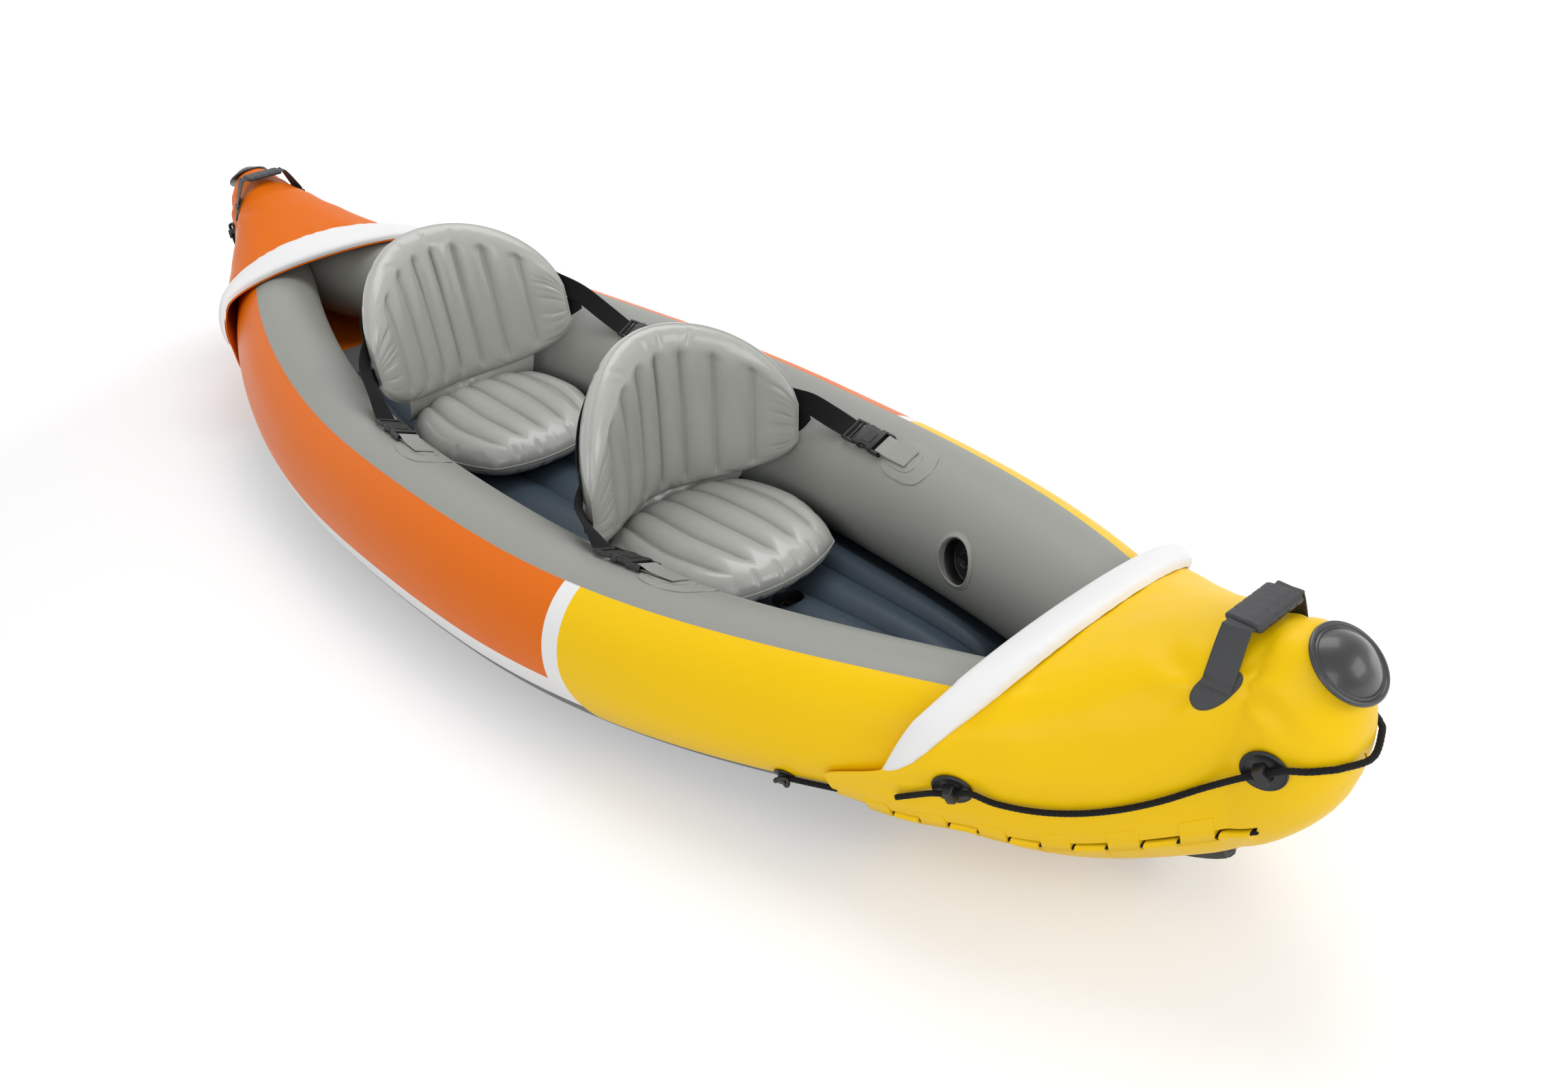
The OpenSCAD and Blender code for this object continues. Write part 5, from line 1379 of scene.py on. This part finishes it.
def tucks(s, count, seed):  # narrow folds along a weld, 0 to 1
    fold = np.zeros_like(s)
    for k in range(count):
        spot = (k + 0.5 + 0.34 * math.sin(3.7 * k + seed)) / count
        wide = 0.16 / count * (1 + 0.4 * math.sin(5.1 * k + 2 * seed))
        gap = np.abs((s - spot + 0.5) % 1 - 0.5)
        fold += (0.6 + 0.4 * math.sin(2.3 * k + seed)) * np.exp(-((gap / wide) ** 2))
    return np.clip(fold, 0, 1)


def weldBead(name, seam, count, body):
    loop = rimOf(seam)
    loop = np.concatenate([loop, loop[:1]])
    bead = makePiece(name, [cordPart(smoothPath(loop[::3], count), seat["bead"], 8)], finishes["weld"])
    mount(bead, body, "pvc_grey")


def makeCushion(row):
    sx = seat["fold"][row]
    u = np.sin(np.radians(90 * np.linspace(-1, 1, seat["cells"][0])))[:, None]
    v = np.linspace(-1, 1, seat["cells"][1])[None, :]
    qx, qy = u * np.sqrt(1 - seat["square"] * v * v), v * np.sqrt(1 - seat["square"] * u * u)
    x = sx + seat["foldRoom"] + seat["length"] / 2 * (1 + qx)
    y = seat["width"] / 2 * qy * (1 - seat["taper"] * np.maximum(0, u))
    z = np.array([cushionZ(k) for k in x.ravel()]).reshape(x.shape)
    creases = 1 - channel(v, seat["channels"], 0.45)
    reach = ease((0.9 - u) / 0.32) * ease((u + 1.0) / 0.1)
    dip = 0.34 * creases * reach
    around = np.arctan2(v + 0 * u, u + 0 * v) / (2 * np.pi) + 0.5
    rim = np.maximum(np.abs(u + 0 * v), np.abs(v + 0 * u))
    pinch = tucks(around, seat["puckers"], 1.7 if row == "front" else 4.2) * ease((rim - 0.84) / 0.12)
    full = puff(u, v) * (1 - seat["pucker"] * pinch * ease((u + 0.1) / 0.5))
    high, low = seat["crown"] * full * (1 - dip), seat["belly"] * full
    face = np.stack([x, y, z + seat["weld"] / 2 + high], -1)
    back = np.stack([x, y, z - seat["weld"] / 2 - low], -1)
    pad = makePiece(row + "Cushion", [pillowPart(face, back)], finishes["seat"])
    edge = (rim > seat["weldFrom"]) * 1.0
    held = np.concatenate([np.ravel(np.maximum(creases * reach, edge)), np.ravel(edge + ease((0.7 - rim) / 0.2))])
    swell(pad, np.clip(held, 0, 1), cloth["cushionCap"])
    smoothOut(pad)
    mount(pad, "hull", "pvc_grey", row + "_cushion")
    weldBead(row + "CushionWeld", np.stack([x, y, z], -1), 420, "hull")


def fan(p):
    return (1 - np.abs(p) ** seat["fan"]) ** (1 / seat["fan"])


def backFlat(p, q):
    up = seat["backH"] * (seat["low"] * (1 - fan(p)) + q * fan(p))
    ahead = seat["wrap"] * np.abs(p) ** seat["wrapBend"]
    return np.stack(np.broadcast_arrays(ahead, seat["backW"] / 2 * p, up), -1)


def backFacing(p):
    bend = seat["wrapBend"]
    slope = np.sign(p) * seat["wrap"] * bend * np.abs(p) ** (bend - 1) / (seat["backW"] / 2)
    return unit(np.stack([np.ones_like(slope), -slope, np.zeros_like(slope)], -1))


def leaned(points, row):
    sx, lean = seat["fold"][row], math.radians(seat["lean"][row])
    x, y, z = points[..., 0], points[..., 1], points[..., 2]
    ahead = sx + x * math.cos(lean) + z * math.sin(lean)
    up = cushionZ(sx) + seat["foldRise"] + z * math.cos(lean) - x * math.sin(lean)
    return np.stack([ahead, y, up], -1)


def backPoint(row, p, q, off):
    p, q, off = np.broadcast_arrays(np.asarray(p, float), np.asarray(q, float), np.asarray(off, float))
    return leaned(backFlat(p, q) + off[..., None] * backFacing(p), row)


def backFull(p, q):
    return seat["backCrown"] * puff(p / seat["edge"], 2 * q - 1)


def makeBackrest(row):
    body = row + "_back"
    p = (seat["edge"] * np.linspace(-1, 1, seat["backCells"][0]))[:, None]
    q = (0.5 - 0.5 * np.cos(np.radians(180 * np.linspace(0, 1, seat["backCells"][1]))))[None, :]
    creases = 1 - channel(p / seat["edge"], seat["backChannels"], 0.45)
    reach = ease((0.91 - q) / 0.07) * ease((q - 0.03) / 0.1)
    rim = np.maximum(np.abs(p / seat["edge"]) + 0 * q, np.abs(2 * q - 1) + 0 * p)
    around = np.arctan2(2 * q - 1 + 0 * p, p + 0 * q) / (2 * np.pi) + 0.5
    pinch = tucks(around, seat["backPuckers"], 2.9 if row == "front" else 0.6) * ease((rim - 0.8) / 0.14)
    full = backFull(p, q) * (1 - seat["backPucker"] * pinch)
    dip = (0.38 + 0.16 * ease((q - 0.5) / 0.35)) * creases * reach
    face = backPoint(row, p, q, seat["weld"] / 2 + full * (1 - dip))
    back = backPoint(row, p, q, -seat["weld"] / 2 - seat["backBelly"] * full)
    pad = makePiece(row + "Backrest", [pillowPart(face, back)], finishes["seat"])
    edge = (rim > seat["weldFrom"]) * 1.0
    held = np.concatenate([np.ravel(np.maximum(creases * reach, edge)), np.ravel(np.maximum(edge, 0.9))])
    swell(pad, np.clip(held, 0, 1), cloth["backCap"])
    smoothOut(pad)
    mount(pad, body, "pvc_grey", row + "_backrest")
    weldBead(row + "BackrestWeld", backPoint(row, p, q, 0.0), 460, body)
    stemFull = float(backFull(np.float64(0), np.float64(seat["stemAt"])))
    off = -seat["weld"] / 2 - seat["backBelly"] * stemFull - hull["gap"]
    lean = math.radians(seat["lean"][row])
    out = np.array([-math.cos(lean), 0, math.sin(lean)])
    stem = lathePart(seat["stem"], 48)
    across = np.array([0, 1.0, 0])
    stem = placed(stem, backPoint(row, 0.0, seat["stemAt"], off), across, np.cross(out, across), out)
    put(row + "SeatValve", [stem], "weld", 40, body, "pvc_grey", row + "_seat_valve")


# the fold: film welded to the cushion's back seam and to the backrest's lower seam
def makeFold(row):
    sx = seat["fold"][row]
    v = np.linspace(-1, 1, 81)[:, None]
    t = np.linspace(0, 1, 15)[None, :]
    y = 150 * v
    x = sx + seat["foldRoom"] + seat["length"] / 2 * (1 - np.sqrt(1 - seat["square"] * (2 * y / seat["width"]) ** 2)) + 3
    low = np.stack(np.broadcast_arrays(x, y, cushionZ(sx) + 0 * v), -1)
    high = backPoint(row, 2 * y / seat["backW"], 0.012, 2.0)
    crease = 1.6 * np.sin(14 * v + 3 * np.sin(5 * v)) * np.sin(np.pi * t)
    face = mix(low, high, t[..., None])
    face = face + np.stack(np.broadcast_arrays(5 * np.sin(np.pi * t) + crease, 0, 0), -1)
    film = makePiece(row + "Fold", [pillowPart(face, face - (0.8, 0, 0.2))], finishes["seat"], 60)
    cushionZ(sx) / 1000 + 0.004
    (cushionZ(sx) + seat["foldRise"] - 1) / 1000
    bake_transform(film)


for row in seat["fold"]:
    makeCushion(row)
    makeBackrest(row)
    makeFold(row)
print("seats made")

# straps and buckles
buckle = {
    "dx": 285, "a": -24, "lift": 1, "thick": 13, "patchDx": 124, "patchL": 120, "patchArc": 40, "tabW": 37,
    "clipLow": 3.5, "clipHigh": 9.5, "barHalf": 21,
    "socket": [(0, 20), (3, 22.6), (12, 23), (14.5, 18.8), (31.5, 18.8), (34, 23), (44, 23), (46, 21.5)],
    "prong": [(0, 12.5), (0, 19.5), (12, 19.5), (15.5, 22.6), (22, 22.8), (30, 20.4), (36, 17), (36.5, 13.5), (30, 13),
              (18, 14.5), (8, 13.5)],
}
strap = {
    "width": 38, "thick": 2, "clear": 1.4, "p": [0.93, 0.86, 0.78, 0.69, 0.6, 0.5, 0.4], "upper": (0.72, 0.77),
    "lower": 0.3, "fork": (0, 13, 6), "back": 41, "rise": 6.5, "mouth": (15, 1.5), "seams": (2, 7, 22), "seamHalf": 15,
    "stitch": {"pitch": 4.2, "length": 3.0, "width": 0.9, "height": 0.9},
}


def buckleFrame(row):
    x = seat["fold"][row] + buckle["dx"]
    return tubePoint(x, buckle["a"], buckle["lift"]), tubeFrame(x, buckle["a"])


def onBack(row, p, q):
    half = strap["width"] / 2 / seat["backH"] / float(fan(p))
    fat = q - half if q > 0.5 else q + half
    full = max(float(backFull(p, q)), float(backFull(p, fat)))
    return backPoint(row, p, q, -seat["weld"] / 2 - seat["backBelly"] * full - strap["thick"] / 2 - strap["clear"])


def makeStraps(row):
    x0 = seat["fold"][row] + buckle["dx"] - strap["back"]
    start = tubePoint(x0, buckle["a"], buckle["lift"] + strap["rise"])
    ahead, out = tubeFrame(x0, buckle["a"])[::2]
    flat = np.cross(out, ahead)
    lean = math.radians(seat["lean"][row])
    upright = np.array([math.sin(lean), 0, math.cos(lean)])
    fork = mix(start, onBack(row, 0.93, 0.62), 0.72) + np.array(strap["fork"])
    tilt = unit(mix(flat, upright, 0.55))
    upper = [onBack(row, p, mix(*strap["upper"], k / 6)) for k, p in enumerate(strap["p"])]
    lower = [onBack(row, p, strap["lower"]) for p in strap["p"]]
    mouth = start + strap["mouth"][0] * ahead + strap["mouth"][1] * out
    long = np.array([mouth, start, mix(start, fork, 0.4), fork] + upper)
    turns = np.array([flat, flat, unit(mix(flat, tilt, 0.5)), tilt] + [upright] * len(upper))
    branch = np.array([fork - strap["width"] / 3 * tilt] + lower)
    branchTurns = np.array([tilt] + [upright] * len(lower))
    bands, rows = [], []
    for points, across in ((long, turns), (branch, branchTurns)):
        line = smoothPath(points, 90)
        sideways = spreadAlong(across, points, line)
        bands.append(bandPart(line, sideways, strap["width"], strap["thick"]))
        tip, wide, way = line[-1], sideways[-1], unit(line[-1] - line[-2])
        off = strap["thick"] / 2 * unit(np.cross(way, wide))
        off = off if off[0] < 0 else -off
        seams, half = strap["seams"], strap["seamHalf"]
        for k in seams:
            rows.append([tip - k * way + t * half * wide + off for t in np.linspace(-1, 1, 12)])
        for s in (-half, half):
            rows.append([tip - mix(seams[0], seams[-1], t) * way + s * wide + off for t in np.linspace(0, 1, 12)])
    back = row + "_back"
    for side, flip in flanks:
        web = makePiece(row + side.title() + "Strap", [scaled(b, y=flip) for b in bands], finishes["webbing"], 50)
        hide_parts(row + "_" + side + "_strap")
        mirror = (1, flip, 1)
        tuple(mix(start, fork, 0.1) / 1000 * mirror)
        tuple(mix(fork, upper[0], 0.6) / 1000 * mirror)
        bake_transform(web)
        lines = [np.array(r) * mirror for r in rows]
        thread = beadRow(row + side.title() + "Stitches", lines, strap["stitch"], finishes["thread"])
        mount(thread, back, "webbing")


def slab(size, low, high, bevel, spot, segments=2):
    return placed(platePart(roundedBox(*size), low, high, bevel, segments), spot, *np.eye(3))


def crossBar(x, z, radius, sides):
    y = np.linspace(-buckle["barHalf"], buckle["barHalf"], 21)
    return cordPart(np.stack([x + 0 * y, y, z + 0 * y], -1), radius, sides)


def makeSockets():
    half = buckle["socket"]
    body = platePart(half + [(x, -y) for x, y in half[::-1]], 0, buckle["thick"], 2.2, 3)
    crown = (body[0][:, 2] > 9) * 1.4 * (1 - (body[0][:, 1] / 23) ** 2)
    body[0][:, 2] += crown - 1.4 * (body[0][:, 2] > 9)
    panel = slab((22, 24, 4), 12.2, 13.0, 0.3, (23, 0, 0), 1)
    arms = [slab((24, 4, 1.5), 0, 10, 0.8, (53, s * buckle["barHalf"], 0)) for s in (-1, 1)]
    bar = crossBar(58.0, 5.0, 3, 20)
    parts = []
    for row in seat["fold"]:
        spot, axes = buckleFrame(row)
        for part in (body, panel, *arms, bar):
            parts += bothSides(placed(part, spot, *axes))
    put("buckleSockets", parts, "black", 35, "hull", "black_plastic", "buckle_sockets")


def makeClips():
    low, high = buckle["clipLow"], buckle["clipHigh"]
    prong = buckle["prong"]
    prongs = [platePart([(x, s * y) for x, y in (prong if s > 0 else prong[::-1])], low, high, 1.0, 2) for s in (-1, 1)]
    guide = slab((30, 7, 2), low, high, 1.0, (14, 0, 0))
    yoke = slab((9, 44, 2.5), low - 0.5, high + 1.2, 1.2, (-4.6, 0, 0))
    rails = [slab((34, 4, 1.8), low, high, 1.2, (-21, s * buckle["barHalf"], 0)) for s in (-1, 1)]
    rungs = [crossBar(x, z, 2.6, 16) for x, z in ((-21.5, 6.0), (-35.2, 6.6))]
    for row in seat["fold"]:
        spot, axes = buckleFrame(row)
        for side, flip in flanks:
            parts = [scaled(placed(p, spot, *axes), y=flip) for p in (*prongs, guide, yoke, *rails, *rungs)]
            name = row + "_" + side + "_clip"
            put(row + side.title() + "Clip", parts, "black", 35, name, "black_plastic", name)


def makeAnchors():
    u, v = softSquare(41, 0.4)
    patches, tabs = [], []
    edge = 1 - np.clip((np.maximum(np.abs(u), np.abs(v)) - 0.93) / 0.07, 0, 1) ** 2
    for row in seat["fold"]:
        spot, axes = buckleFrame(row)
        x = seat["fold"][row] + buckle["dx"] + buckle["patchDx"]
        for length, arc, shift, low, high in ((1, 1, 0, 0.3, 1.5), (0.66, 0.62, -14, 1.4, 2.4)):
            px = x + shift + buckle["patchL"] / 2 * length * u
            pa = buckle["a"] + buckle["patchArc"] / 2 * arc * v
            patches += bothSides(pillowPart(tubePoint(px, pa, low + (high - low) * edge), tubePoint(px, pa, low - 0.2)))
        under = [tubePoint(x - buckle["patchDx"] + k, buckle["a"], 2.7) for k in (66, 82, 132)]
        low = np.array([(p - spot) @ axes[2] for p in under])
        loop = [(132, low[2] + 1.2), (106, mix(low[1], low[2], 0.5) + 1.6), (82, low[1] + 3.2), (68, 8.6), (58, 9.9),
                (53.4, 7.8), (53.2, 2.6), (58, 0.6), (66, low[0] + 0.6), (82, low[1] + 0.6),
                (104, mix(low[1], low[2], 0.44) + 0.5)]
        line = smoothPath([(a, 0, b) for a, b in loop], 70)
        strip = bandPart(line, np.tile([0.0, 1, 0], (len(line), 1)), buckle["tabW"], 1.4)
        tabs += bothSides(placed(strip, spot, *axes))
    put("anchorPatches", patches, "grey", 50, "hull", "pvc_grey", "anchor_patches")
    put("anchorTabs", tabs, "grey", 50, "hull", "pvc_grey", "anchor_tabs")


for row in seat["fold"]:
    makeStraps(row)
makeSockets()
makeClips()
makeAnchors()
print("straps and buckles made")


# skeg and rail: the frame's own shapes with softened edges
def softEdged(name, node, width):
    bm = bmesh.new()
    bm.from_mesh(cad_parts[node].data)
    bmesh.ops.remove_doubles(bm, verts=bm.verts, dist=1e-5)
    bmesh.ops.dissolve_limit(bm, angle_limit=math.radians(1), verts=bm.verts, edges=bm.edges)
    mesh = bpy.data.meshes.new(name)
    bm.to_mesh(mesh)
    bm.free()
    mesh.materials.clear()
    mesh.materials.append(finishes["skeg"])
    piece = bpy.data.objects.new(name, mesh)
    scene.collection.objects.link(piece)
    soft = piece.modifiers.new("softEdges", "BEVEL")
    soft.width, soft.segments, soft.limit_method, soft.angle_limit = width / 1000, 2, "ANGLE", math.radians(35)
    settle(piece)
    piece.data.shade_smooth()
    piece.data.set_sharp_from_angle(angle=math.radians(40))
    return piece


mount(softEdged("skegFin", "skeg", 1.2), "skeg", "skeg_plastic", "skeg")
mount(softEdged("skegRail", "skeg_rail", 1.0), "hull", "skeg_plastic", "skeg_rail")
print("skeg made")
